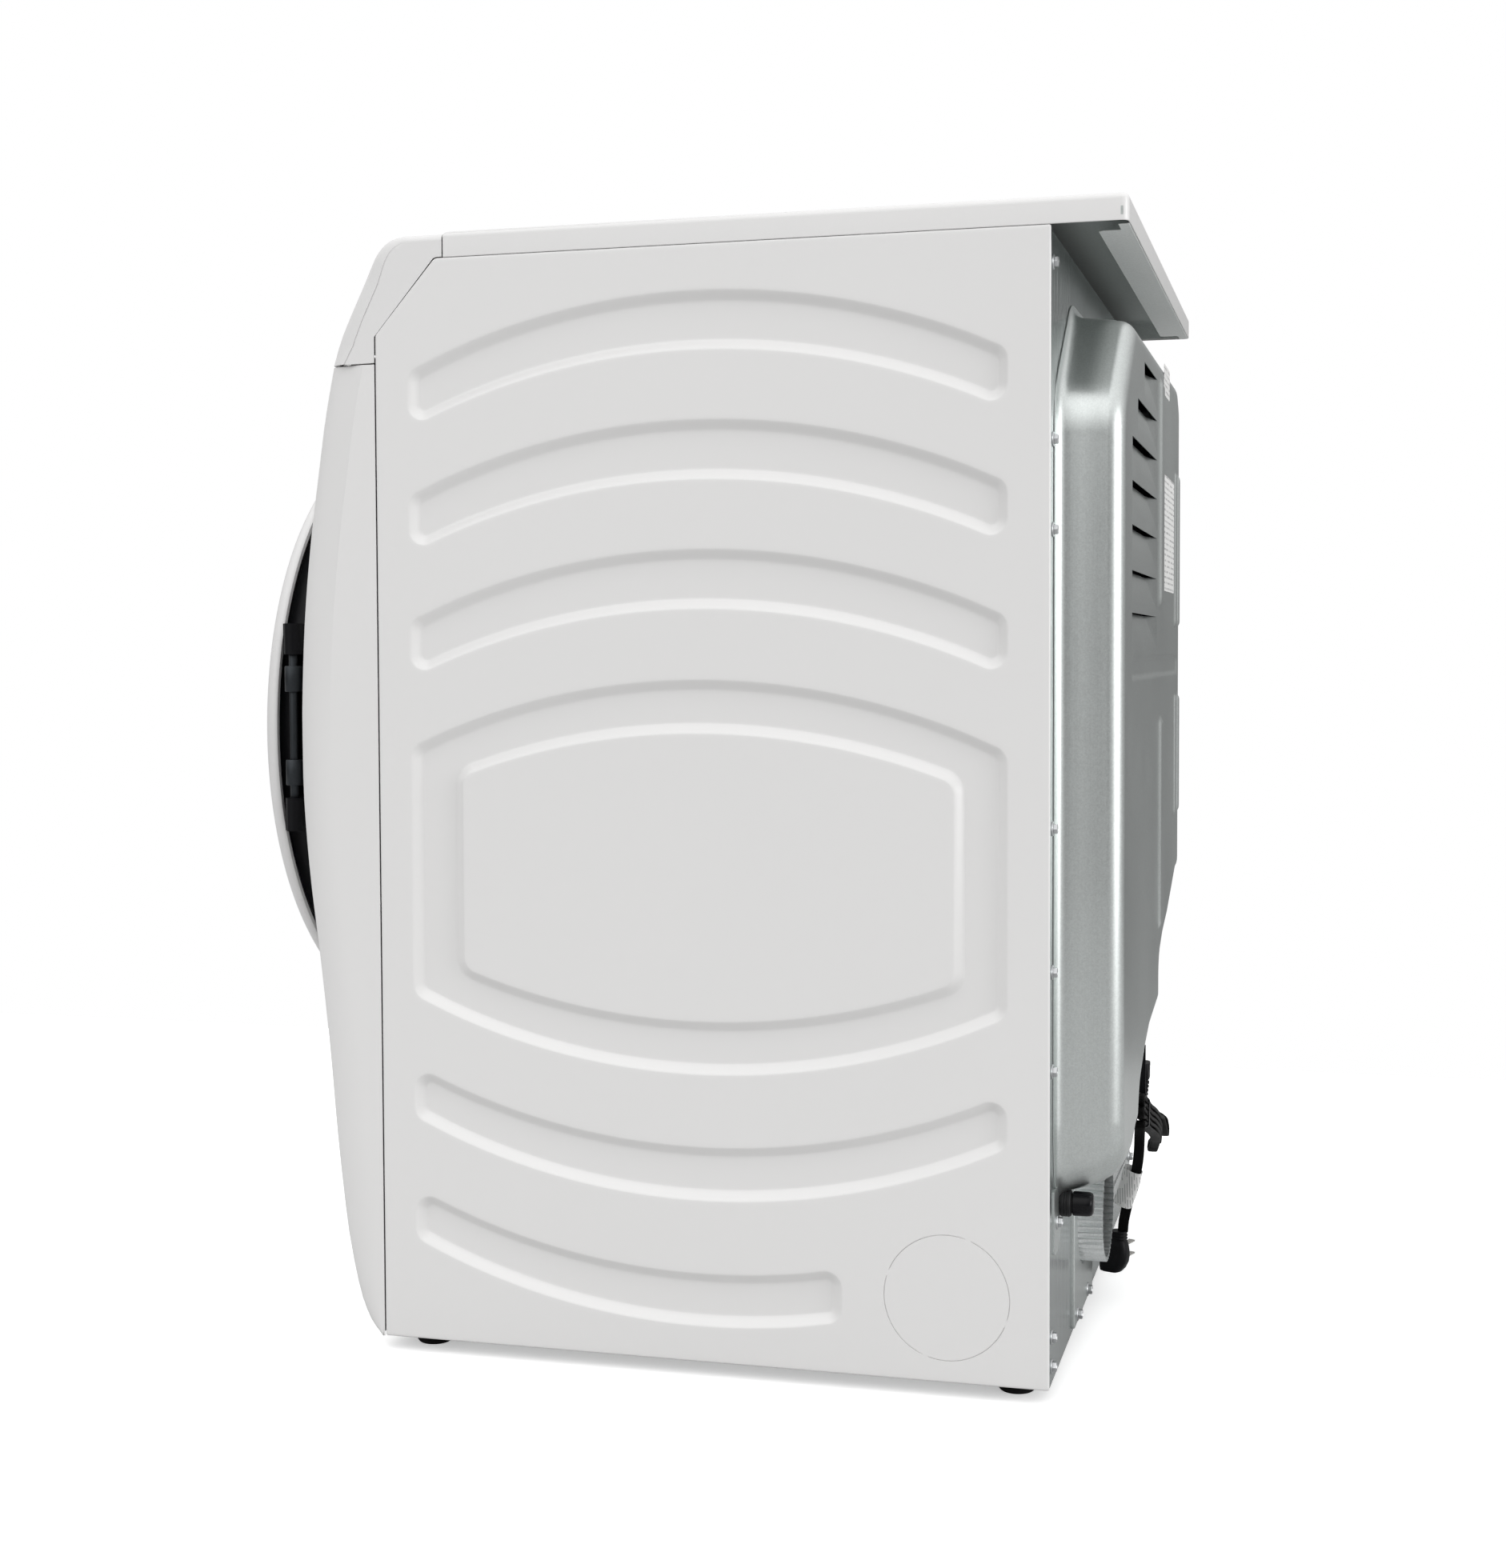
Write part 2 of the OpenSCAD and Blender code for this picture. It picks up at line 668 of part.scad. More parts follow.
module exhaust_duct()
    color("silver") difference() {
        union() {
            rod(duct_x, duct_z, fan_rear_y, rear_y + 3, duct_r);
            rod(duct_x, duct_z, rear_y + 2, rear_y + 5, stub_r - 0.6);
            // Crimped end that a vent pipe slides over
            rod(duct_x, duct_z, rear_y + 4, rear_y + 25, stub_r);
        }
        rod(duct_x, duct_z, fan_rear_y - 1, rear_y + 26, stub_r - 1.4);
    }

// The duct stands in front of the bulkhead and opens at the top for the filter.
module lint_duct()
    color("gainsboro") difference() {
        union() {
            difference() {
                block([-86, bulkhead_y - 32, 66], [86, bulkhead_y, 366]);
                block([-84, bulkhead_y - 30, 68], [84, bulkhead_y - 2, 367]);
            }
            rod(shaft_x, shaft_z, bulkhead_y - 1, fan_front_y, 54);
        }
        rod(shaft_x, shaft_z, bulkhead_y - 5, fan_front_y + 1, 52);
    }

module lint_filter()
    color("dimgray") {
        difference() {
            block([-80, bulkhead_y - 27, 180], [80, bulkhead_y - 11, 366]);
            block([-74, bulkhead_y - 24, 186], [74, bulkhead_y - 10, 356]);
            for (x = [-72:24:48], z = [190:40:310])
                block([x, bulkhead_y - 30, z], [x + 20, bulkhead_y - 20, z + 34]);
        }
        block([-40, bulkhead_y - 24, 366], [40, bulkhead_y - 14, 378]);
    }

module burner_tube()
    color("silver") pipe(burner_x, burner_z, rear_y - 500, skin_y, burner_r, burner_r - 1.2);

module gas_valve()
    color("goldenrod") {
        block([252, rear_y - 555, 140], [314, rear_y - 512, 250]);
        rod(burner_x + 8, burner_z, rear_y - 512, rear_y - 480, 7);
    }

module gas_pipe()
    color("#2a2a2a") pipe(gas_x, gas_z, rear_y - 512, rear_y + 26, pipe_r, pipe_r - 2.3);

module gas_plate()
    color("lightgray") difference() {
        intersection() {
            rod(gas_x + 24, gas_z - 2, rear_y, rear_y + 1.5, 36);
            block([288, rear_y - 1, 100], [336, rear_y + 3, 178]);
        }
        rod(gas_x, gas_z, rear_y - 1, rear_y + 3, pipe_r + 0.2);
    }

module gas_cap()
    color("#141414") translate([gas_x, rear_y + 12.5, gas_z]) rotate([-90, 0, 0]) difference() {
        union() {
            cylinder(r = pipe_r + 2, h = 15);
            translate([0, 0, 15]) cylinder(r1 = pipe_r + 2, r2 = pipe_r - 1, h = 3);
        }
        translate([0, 0, -1]) cylinder(r = pipe_r, h = 15);
    }

module drum_lamp()
    color("lightyellow") {
        rod(-60, door_z + 235, skin_y - 4, skin_y, 24);
        rod(-60, door_z + 235, skin_y - 14, skin_y - 4, 18);
    }

// ---- Cord ----

// A tube swept along route: one ring of n points at each stop, square to the run there.
function unit(v) = v / norm(v);
function run_at(r, i) = unit(r[min(i + 1, len(r) - 1)] - r[max(i - 1, 0)]);
function ring_at(r, i, radius, n) =
    let (d = run_at(r, i), u = unit(cross(d, [1, 0, 0.01])), v = cross(d, u))
    [for (k = [0:n - 1]) r[i] + radius * (cos(360 * k / n) * u + sin(360 * k / n) * v)];
module tube(route, radius, n)
    polyhedron(
        points = [for (i = [0:len(route) - 1]) each ring_at(route, i, radius, n)],
        faces = concat(
            [[for (k = [n - 1:-1:0]) k]],
            [for (i = [0:len(route) - 2], k = [0:n - 1])
                [i * n + k, i * n + (k + 1) % n, (i + 1) * n + (k + 1) % n, (i + 1) * n + k]],
            [[for (k = [0:n - 1]) (len(route) - 1) * n + k]]
        )
    );

module power_cord()
    color("#161616") {
        tube(lead_route, cord_w / 2, 8);
        tube(drop_route, cord_w / 2, 8);
    }

hank_run = hank_near - hank_far;
hank_tilt = atan2(hank_run[1], hank_run[0]);
tie_x = 70;
tie_z = hank_far[1] + (tie_x - hank_far[0]) * tan(hank_tilt);
module cord_hank()
    color("#161616") xz(hank_y - hank_t / 2, hank_y + hank_t / 2)
        translate(hank_far) rotate(hank_tilt) {
            translate([0, -hank_r]) square([norm(hank_run), 2 * hank_r]);
            circle(r = hank_r);
            translate([norm(hank_run), 0]) circle(r = hank_r);
        }

// A strap round the hank, and its tail up to the lower wall of the rear cover.
module cord_tie()
    color("#101010") {
        xz(hank_y - 2.5, hank_y + 2.5) translate([tie_x - 0.7, tie_z + hank_r]) square([1.4, 50]);
        translate([tie_x, hank_y, tie_z]) rotate([0, -hank_tilt, 0]) difference() {
            translate([-2.5, -hank_t / 2 - 1.5, -hank_r - 1.5]) cube([5, hank_t + 3, 2 * hank_r + 3]);
            translate([-4, -hank_t / 2, -hank_r]) cube([8, hank_t, 2 * hank_r]);
        }
    }

module strain_relief()
    color("#141414") {
        block([relief_x - 12, rear_y, 180], [relief_x + 12, rear_y + 38, 198]);
        translate([relief_x, relief_y, relief_z]) cylinder(r1 = 6, r2 = 8, h = 22);
        rod(relief_x, 190, rear_y - 8, rear_y, 8);
    }

module cord_tag()
    color("white") translate([44, rear_y + 36, 115]) rotate([-17, 21, 0])
        translate([-7, -10, -22]) cube([14, 20, 44]);

module plug()
    translate([30, rear_y + 21.7, 44]) rotate([0, 0, -20]) {
        color("#161616") {
            translate([-9, 0, 0]) rotate([0, 90, 0]) cylinder(r = 14, h = 17);
            translate([-8, -3, 0]) cube([15, 14, 24]);
            translate([-9, -15, -17]) cube([17, 22, 17]);
        }
        color("gold") {
            translate([-26, 3, 8]) cube([17, 6.3, 1.5]);
            translate([-26, 3, -4]) cube([17, 6.3, 1.5]);
        }
    }

base_pan();
side_panel_right();
side_panel_left();
rear_panel();
rear_cover();
access_panel();
rear_screws();
top_cover();
front_panel();
front_bulkhead();
control_panel();
control_fascia();
door_seal();
drum_felts();
roller_shafts();
lint_duct();
blower_housing();
exhaust_duct();
burner_tube();
gas_valve();
gas_pipe();
gas_plate();
gas_cap();
motor();
door_switch();
drum_lamp();
foot_nuts();
hinge_bracket();
strain_relief();
power_cord();
cord_hank();
cord_tie();
cord_tag();
plug();
drive_belt();
door_ring();
door_lens();
door_frame();
door_bowl();
hinge_pin();
door_latch();
drum();
drum_baffles();
roller_left();
roller_right();
motor_shaft();
blower_wheel();
idler_arm();
idler_wheel();
lint_filter();
cycle_knob();
power_button();
start_button();
option_button_1();
option_button_2();
option_button_3();
foot_front_left();
foot_front_right();
foot_rear_left();
foot_rear_right();
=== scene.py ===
import math
import bmesh
import bpy
import numpy as np
from mathutils import Matrix, Vector
from mathutils.geometry import delaunay_2d_cdt
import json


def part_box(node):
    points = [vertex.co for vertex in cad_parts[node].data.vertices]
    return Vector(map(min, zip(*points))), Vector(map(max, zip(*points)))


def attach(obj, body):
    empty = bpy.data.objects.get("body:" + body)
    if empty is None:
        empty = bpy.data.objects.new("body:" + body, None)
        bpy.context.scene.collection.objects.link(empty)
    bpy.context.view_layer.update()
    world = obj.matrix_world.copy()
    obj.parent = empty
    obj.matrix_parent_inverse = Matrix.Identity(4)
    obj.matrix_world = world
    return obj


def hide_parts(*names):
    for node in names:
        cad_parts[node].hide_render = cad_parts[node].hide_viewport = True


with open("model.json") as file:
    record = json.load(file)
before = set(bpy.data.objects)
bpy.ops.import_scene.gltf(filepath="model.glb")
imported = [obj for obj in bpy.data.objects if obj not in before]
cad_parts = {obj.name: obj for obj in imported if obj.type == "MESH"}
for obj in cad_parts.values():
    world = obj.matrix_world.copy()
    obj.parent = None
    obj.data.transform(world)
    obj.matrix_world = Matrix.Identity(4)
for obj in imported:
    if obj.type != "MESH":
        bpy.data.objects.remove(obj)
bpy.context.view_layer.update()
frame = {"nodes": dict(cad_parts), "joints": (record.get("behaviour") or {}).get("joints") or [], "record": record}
nodes = frame["nodes"]
joints = {j["name"]: j for j in frame["joints"]}
scene = bpy.context.scene

# Shapes are worked out in millimetres and turned into metres as each piece is made.
MM = 0.001


def box_mm(node):
    low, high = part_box(node)
    return low / MM, high / MM


def middle_of(node):
    return [(a + b) / 2 for a, b in zip(*box_mm(node))]


side_low, side_high = box_mm("side_panel_right")
top_low, top_high = box_mm("top_cover")
cover_high = box_mm("rear_cover")[1].y
half_w = side_high.x
rear_y = side_high.y
front_y = side_low.y
skirt_z = side_high.z
top_z = top_high.z
seam_y = top_low.y
floor_gap = side_low.z
door_z = joints["door_swing"]["pos_m"][2] / MM
hinge_y = joints["door_swing"]["pos_m"][1] / MM
hinge_x = joints["door_swing"]["pos_m"][0] / MM
X, Y, Z = Vector((1, 0, 0)), Vector((0, 1, 0)), Vector((0, 0, 1))


# ---- Camera, light and stage ----

def make_camera():
    yaw, pitch, roll = math.radians(15.170), math.radians(2.397), math.radians(-0.2327)
    look = Vector((-math.cos(yaw) * math.cos(pitch), -math.sin(yaw) * math.cos(pitch), -math.sin(pitch)))
    right = look.cross(Z).normalized()
    up = right.cross(look)
    tilted_right = right * math.cos(roll) + up * math.sin(roll)
    tilted_up = up * math.cos(roll) - right * math.sin(roll)
    data = bpy.data.cameras.new("camera")
    data.sensor_width = 36
    data.lens = 50.09
    data.shift_y = -0.02585
    camera = bpy.data.objects.new("camera", data)
    scene.collection.objects.link(camera)
    turn = Matrix((tilted_right, tilted_up, -look)).transposed().to_4x4()
    camera.matrix_world = Matrix.Translation((2.16705, 0.58302, 0.63593)) @ turn
    scene.camera = camera


class Graph:
    """Short calls for building a node tree."""

    def __init__(self, tree):
        self.tree = tree

    def node(self, kind, **settings):
        made = self.tree.nodes.new(kind)
        for name, value in settings.items():
            setattr(made, name, value)
        return made

    def link(self, source, target):
        self.tree.links.new(source, target)

    def math(self, operation, a, b=None, clamp=False):
        made = self.node("ShaderNodeMath", operation=operation, use_clamp=clamp)
        for socket, value in zip(made.inputs, (a, b)):
            if isinstance(value, (int, float)):
                socket.default_value = value
            elif value is not None:
                self.link(value, socket)
        return made.outputs[0]

    def total(self, *shares, clamp=False):
        """Sum of values times their weights."""
        parts = [self.math("MULTIPLY", value, weight) for value, weight in shares]
        for part in parts[1:]:
            parts[0] = self.math("ADD", parts[0], part, clamp=clamp and part == parts[-1])
        return parts[0]

    def coords(self, scale):
        """Object coordinates in metres, times scale along each axis."""
        place = self.node("ShaderNodeTexCoord")
        mapping = self.node("ShaderNodeMapping")
        mapping.inputs["Scale"].default_value = scale
        self.link(place.outputs["Object"], mapping.inputs["Vector"])
        return mapping.outputs[0]

    def noise(self, scale, detail=2.0, stretch=(1, 1, 1)):
        made = self.node("ShaderNodeTexNoise")
        made.inputs["Scale"].default_value = scale
        made.inputs["Detail"].default_value = detail
        self.link(self.coords(stretch), made.inputs["Vector"])
        return made.outputs["Fac"]

    def cells(self, scale, stretch=(1, 1, 1)):
        """A level for each crystal, the same on every run."""
        made = self.node("ShaderNodeTexVoronoi")
        made.inputs["Scale"].default_value = scale
        self.link(self.coords(stretch), made.inputs["Vector"])
        part = self.node("ShaderNodeSeparateColor")
        self.link(made.outputs["Color"], part.inputs[0])
        return part.outputs[0]

    def span(self, value, low, high):
        """value, from 0 to 1, stretched to low..high."""
        made = self.node("ShaderNodeMapRange")
        made.inputs["To Min"].default_value = low
        made.inputs["To Max"].default_value = high
        self.link(value, made.inputs["Value"])
        return made.outputs[0]

    def mix(self, share, first, second):
        made = self.node("ShaderNodeMix", data_type="RGBA")
        self.link(share, made.inputs["Factor"])
        for socket, colour in (("A", first), ("B", second)):
            target = [s for s in made.inputs if s.name == socket and s.type == "RGBA"][0]
            if isinstance(colour, (tuple, list)):
                target.default_value = (*colour, 1)
            else:
                self.link(colour, target)
        return [s for s in made.outputs if s.type == "RGBA"][0]


def split_view(g, unseen, seen, output):
    """The camera sees one shader of the stage, and light and reflections meet the other."""
    pick = g.node("ShaderNodeMixShader")
    g.link(g.node("ShaderNodeLightPath").outputs["Is Camera Ray"], pick.inputs[0])
    g.link(unseen.outputs[0], pick.inputs[1])
    g.link(seen.outputs[0], pick.inputs[2])
    g.link(pick.outputs[0], g.node(output).inputs["Surface"])


def make_studio():
    """A soft white room: brighter overhead and behind the dryer, darker to its far rear."""
    world = bpy.data.worlds.new("studio")
    scene.world = world
    world.use_nodes = True
    g = Graph(world.node_tree)
    world.node_tree.nodes.clear()
    way = g.node("ShaderNodeTexCoord").outputs["Generated"]

    def lobe(direction, sharpness, strength):
        dot = g.node("ShaderNodeVectorMath", operation="DOT_PRODUCT")
        g.link(way, dot.inputs[0])
        dot.inputs[1].default_value = Vector(direction).normalized()
        toward = g.math("MAXIMUM", dot.outputs["Value"], 0.0)
        return g.math("MULTIPLY", g.math("POWER", toward, sharpness), strength)

    light = g.math("ADD", lobe((0, 0, 1), 1.0, 0.86), 0.45)
    for change, direction, sharpness, strength in (
            ("ADD", (0.22, 0.96, 0.12), 26.0, 5.5), ("ADD", (0.70, -0.45, 0.60), 5.0, 1.0),
            ("SUBTRACT", (0.94, 0.34, 0.0), 14.0, 0.45), ("SUBTRACT", (-0.98, 0.15, 0.10), 5.0, 0.33),
            ("SUBTRACT", (0.35, -0.93, 0.0), 6.0, 0.50)):
        light = g.math(change, light, lobe(direction, sharpness, strength))
    light = g.math("MAXIMUM", light, 0.05)
    room = g.node("ShaderNodeBackground")
    g.link(light, room.inputs["Strength"])
    backdrop = g.node("ShaderNodeBackground")
    backdrop.inputs["Strength"].default_value = 1.0
    for shader in (room, backdrop):
        shader.inputs["Color"].default_value = (1, 1, 1, 1)
    split_view(g, room, backdrop, "ShaderNodeOutputWorld")
    scene.view_settings.view_transform = "Standard"


def make_floor():
    material = bpy.data.materials.new("floor_white")
    material.use_nodes = True
    g = Graph(material.node_tree)
    material.node_tree.nodes.clear()
    seen, bounced = g.node("ShaderNodeBsdfDiffuse"), g.node("ShaderNodeBsdfDiffuse")
    seen.inputs["Color"].default_value = (0.95, 0.95, 0.95, 1)
    bounced.inputs["Color"].default_value = (0.55, 0.55, 0.55, 1)
    glow = g.node("ShaderNodeEmission")
    glow.inputs["Strength"].default_value = 0.42
    lit = g.node("ShaderNodeAddShader")
    g.link(seen.outputs[0], lit.inputs[0])
    g.link(glow.outputs[0], lit.inputs[1])
    split_view(g, bounced, lit, "ShaderNodeOutputMaterial")
    mesh = bpy.data.meshes.new("floor")
    far, short = 4.0, -1.2
    mesh.from_pydata([(short, -far, 0), (far, -far, 0), (far, far, 0), (short, far, 0)], [], [(0, 1, 2, 3)])
    mesh.materials.append(material)
    floor = bpy.data.objects.new("floor", mesh)
    scene.collection.objects.link(floor)


# ---- Shapes ----

class Shape:
    """Points and faces of one piece, in millimetres."""

    def __init__(self):
        self.points = []
        self.faces = []
        self.tints = []

    def row(self, points):
        first = len(self.points)
        self.points.extend(tuple(p) for p in points)
        return list(range(first, len(self.points)))

    def face(self, corners, tint=0):
        self.faces.append(tuple(corners))
        self.tints.append(tint)

    def strip(self, a, b, closed=True, tint=0):
        count = len(a)
        for i in range(count if closed else count - 1):
            j = (i + 1) % count
            self.face((a[i], a[j], b[j], b[i]), tint)

    def loft(self, rows, closed=True, tint=0):
        """Joins rows of points; returns the rows' point numbers."""
        made = [self.row(r) for r in rows]
        for a, b in zip(made, made[1:]):
            self.strip(a, b, closed, tint)
        return made

    def spin(self, profile, centre, axis, steps=64, tint=0):
        """Turns a profile of (radius, distance along axis) about an axis."""
        axis = Vector(axis).normalized()
        u = axis.cross(X if abs(axis.x) < 0.9 else Y).normalized()
        v = axis.cross(u)
        centre = Vector(centre)
        turn = [(math.cos(a), math.sin(a)) for a in np.linspace(0, 2 * math.pi, steps, endpoint=False)]
        rows = [[centre + axis * d + (u * c + v * s) * r for c, s in turn] for r, d in profile]
        return self.loft(rows, True, tint)

    def press(self, outline, profile, place, tint=0):
        """Carries an outline through (inset, depth) steps; returns its last flat loop and numbers."""
        rows = [[place(u, v, depth) for u, v in inset(outline, d)] for d, depth in profile]
        made = self.loft(rows, True, tint)
        first = (inset(outline, profile[0][0]), made[0])
        last = (inset(outline, profile[-1][0]), made[-1])
        return first, last

    def fill(self, loops, tint=0):
        """Fills the flat between closed loops, each a pair of flat points and point numbers."""
        flat = [Vector(p) for loop, _ in loops for p in loop]
        ids = [i for _, numbers in loops for i in numbers]
        edges = []
        base = 0
        for loop, _ in loops:
            edges += [(base + k, base + (k + 1) % len(loop)) for k in range(len(loop))]
            base += len(loop)
        ends = np.array([[flat[a], flat[b]] for a, b in edges])
        _, _, faces, origin, _, _ = delaunay_2d_cdt(flat, edges, [], 0, 1e-7)
        for f in faces:
            corners = [origin[v][0] for v in f]
            middle = sum((flat[c] for c in corners), Vector((0, 0))) / len(corners)
            if inside(middle, ends):
                self.face([ids[c] for c in corners], tint)

    def pad(self, outline, profile, place):
        """Presses an outline and closes its last flat; returns the first loop."""
        first, last = self.press(outline, profile, place)
        self.fill([last])
        return first

    def slab(self, outline, profile, place):
        """Presses an outline and closes both ends."""
        for loop in self.press(outline, profile, place):
            self.fill([loop])

    def capped(self, rows):
        """Joins rows of points and closes both ends."""
        made = self.loft(rows)
        self.face(made[0][::-1])
        self.face(made[-1])

    def sheet(self, rows, hole):
        """A grid of points with a window of cells left out; returns the numbers and the window's rim."""
        top, low, near, far = hole
        made = [self.row(r) for r in rows]
        for i, (a, b) in enumerate(zip(made, made[1:])):
            for j in range(len(a) - 1):
                if not (top <= i < low and near <= j < far):
                    self.face((a[j], a[j + 1], b[j + 1], b[j]))
        rim = [made[top][j] for j in range(near, far)] + [made[i][far] for i in range(top, low)]
        rim += [made[low][j] for j in range(far, near, -1)] + [made[i][near] for i in range(low, top, -1)]
        return made, rim

    def turn_under(self, row, numbers, behind, reach):
        """Folds the foot of a bowed sheet back by reach, where it stands in front of behind."""
        kept = [j for j, p in enumerate(row) if p[1] < behind]
        folded = self.row([(row[j][0], row[j][1] + reach, row[j][2]) for j in kept])
        self.strip(folded, [numbers[j] for j in kept], closed=False)

    def block(self, low, high, tint=0):
        (x0, y0, z0), (x1, y1, z1) = low, high
        rows = [[(x0, y0, z), (x1, y0, z), (x1, y1, z), (x0, y1, z)] for z in (z0, z1)]
        made = self.loft(rows, True, tint)
        self.face(made[0][::-1], tint)
        self.face(made[1], tint)


def inside(point, ends):
    """True where an odd number of edges lie to the right of the point."""
    (ax, ay), (bx, by) = ends[:, 0].T, ends[:, 1].T
    spans = (ay > point[1]) != (by > point[1])
    with np.errstate(divide="ignore", invalid="ignore"):
        cross = ax + (point[1] - ay) * (bx - ax) / (by - ay)
    return bool(np.count_nonzero(spans & (cross > point[0])) % 2)


def turned_in(loop):
    """+1 for an anticlockwise loop, -1 for a clockwise one."""
    area = sum(a[0] * b[1] - b[0] * a[1] for a, b in zip(loop, loop[1:] + loop[:1]))
    return 1 if area > 0 else -1


def inset(loop, distance):
    """The closed loop moved inwards, or outwards where distance is negative."""
    if not distance:
        return list(loop)
    side = turned_in(loop)
    points = [Vector(p) for p in loop]
    count = len(points)
    runs = [(points[(i + 1) % count] - points[i]).normalized() for i in range(count)]
    normals = [Vector((-r.y, r.x)) * side for r in runs]
    moved = []
    for i, point in enumerate(points):
        middle = (normals[i - 1] + normals[i]).normalized()
        moved.append(point + middle * (distance / max(0.4, middle.dot(normals[i]))))
    # Where a corner's arc has shrunk past its centre, its points gather where its neighbours meet
    for _ in range(6):
        along = [(moved[(i + 1) % count] - moved[i]).dot(runs[i]) for i in range(count)]
        if min(along) > -1e-4:
            break
        flipped = [a <= 1e-4 for a in along]
        for first in [i for i in range(count) if flipped[i] and not flipped[i - 1]]:
            last = first
            while flipped[(last + 1) % count]:
                last += 1
            a, b = moved[first - 1], runs[first - 1]
            c, d = moved[(last + 2) % count], runs[(last + 1) % count]
            turn = b.cross(d) if abs(b.cross(d)) > 1e-6 else 1e-6
            meet = a + b * ((c - a).cross(d) / turn)
            if (meet - moved[first]).length > 3 * abs(distance):
                meet = (moved[first] + moved[(last + 1) % count]) / 2
            for i in range(first, last + 2):
                moved[i % count] = meet
    return [tuple(p) for p in moved]


def rounded(corners, step=11):
    """A closed outline through (x, y, radius) corners; radius 0 keeps the point, unless a fillet takes it."""
    def reached(c):
        return any(math.dist(c[:2], d[:2]) < 1.7 * d[2] for d in corners if d[2])

    kept = [c for c in corners if c[2] or not reached(c)]
    outline = []
    for i, (x, y, radius) in enumerate(kept):
        if not radius:
            outline.append((x, y))
            continue
        here = Vector((x, y))
        a = (Vector(kept[i - 1][:2]) - here).normalized()
        b = (Vector(kept[(i + 1) % len(kept)][:2]) - here).normalized()
        half = a.angle(b) / 2
        centre = here + (a + b).normalized() * radius / math.sin(half)
        start = here + a * radius / math.tan(half) - centre
        end = here + b * radius / math.tan(half) - centre
        first = math.atan2(start.y, start.x)
        sweep = (math.atan2(end.y, end.x) - first + math.pi) % (2 * math.pi) - math.pi
        steps = max(2, math.ceil(abs(math.degrees(sweep)) / step))
        for k in range(steps + 1):
            angle = first + sweep * k / steps
            outline.append((centre.x + radius * math.cos(angle), centre.y + radius * math.sin(angle)))
    return outline


def box_outline(u0, v0, u1, v1, radius):
    return rounded([(u0, v0, radius), (u1, v0, radius), (u1, v1, radius), (u0, v1, radius)])


def back_place(y):
    """Places flat (x, z) points on the plane at y, sunk forwards by a depth."""
    return lambda x, z, depth: (x, y - depth, z)


def top_place(z):
    """Places flat (x, y) points at height z, sunk by a depth."""
    return lambda x, y, depth: (x, y, z - depth)


def circle(u, v, radius, steps=72):
    turn = np.linspace(0, 2 * math.pi, steps, endpoint=False)
    return [(u + radius * math.cos(a), v + radius * math.sin(a)) for a in turn]


def smooth_line(points, per_span=8):
    """A smooth line through the points."""
    points = [Vector(p) for p in points]
    ends = [points[0] * 2 - points[1], *points, points[-1] * 2 - points[-2]]
    line = []
    for a, b, c, d in zip(ends, ends[1:], ends[2:], ends[3:]):
        for k in range(per_span):
            t = k / per_span
            line.append(0.5 * (2 * b + (c - a) * t + (2 * a - 5 * b + 4 * c - d) * t * t
                               + (3 * b - a - 3 * c + d) * t * t * t))
    return line + [points[-1]]


def edge_arc(radius, start_inset=0.0, steps=6):
    """(inset, depth) steps of a rounded outer edge, from the side to the face."""
    turn = np.linspace(0, math.pi / 2, steps + 1)
    return [(start_inset + radius * (1 - math.cos(a)), radius * (1 - math.sin(a))) for a in turn]


def piece(shape, name, materials, stands_for=(), body="cabinet", slot=None, outward=None, thick=0.0,
          crease=35):
    """Makes the Blender object, in metres, and ties it to its CAD body.

    The slot, given or worked out from the first material (galvanised for the zinc sheets), is not used.
    """
    materials = materials if isinstance(materials, list) else [materials]
    stands_for = (stands_for,) if isinstance(stands_for, str) else stands_for
    slot = slot or next((known for known, look in BY_SLOT.items() if look == materials[0]), "galvanised")
    mesh = bpy.data.meshes.new(name)
    mesh.from_pydata([[c * MM for c in p] for p in shape.points], [], shape.faces)
    mesh.polygons.foreach_set("material_index", shape.tints)
    work = bmesh.new()
    work.from_mesh(mesh)
    bmesh.ops.remove_doubles(work, verts=work.verts, dist=0.02 * MM)
    bmesh.ops.recalc_face_normals(work, faces=work.faces)
    if outward:
        facing = sum((f.normal * f.calc_area() for f in work.faces), Vector())
        if facing.dot(outward) < 0:
            bmesh.ops.reverse_faces(work, faces=work.faces)
    work.to_mesh(mesh)
    work.free()
    mesh.shade_smooth()
    mesh.set_sharp_from_angle(angle=math.radians(crease))
    # Open edges stay sharp, so that the sheet's cut rim doesn't tint the flat beside it
    work = bmesh.new()
    work.from_mesh(mesh)
    for edge in work.edges:
        if edge.is_boundary:
            edge.smooth = False
    work.to_mesh(mesh)
    work.free()
    made = bpy.data.objects.new(name, mesh)
    scene.collection.objects.link(made)
    for material in materials:
        mesh.materials.append(material)
    if thick:
        shell = made.modifiers.new("sheet", "SOLIDIFY")
        shell.thickness = thick * MM
        shell.offset = -1
    if stands_for:
        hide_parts(*stands_for)
    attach(made, body)
    return made


# ---- Materials ----

def finish(name, colour, roughness, metallic=0.0, coat=0.0, specular=None):
    """A principled material; returns it with its graph and shader."""
    material = bpy.data.materials.new(name)
    material.use_nodes = True
    shader = material.node_tree.nodes["Principled BSDF"]
    shader.inputs["Base Color"].default_value = (*colour, 1)
    shader.inputs["Roughness"].default_value = roughness
    shader.inputs["Metallic"].default_value = metallic
    shader.inputs["Coat Weight"].default_value = coat
    shader.inputs["Coat Roughness"].default_value = 0.12
    if specular is not None:
        shader.inputs["Specular IOR Level"].default_value = specular
    return material, Graph(material.node_tree), shader


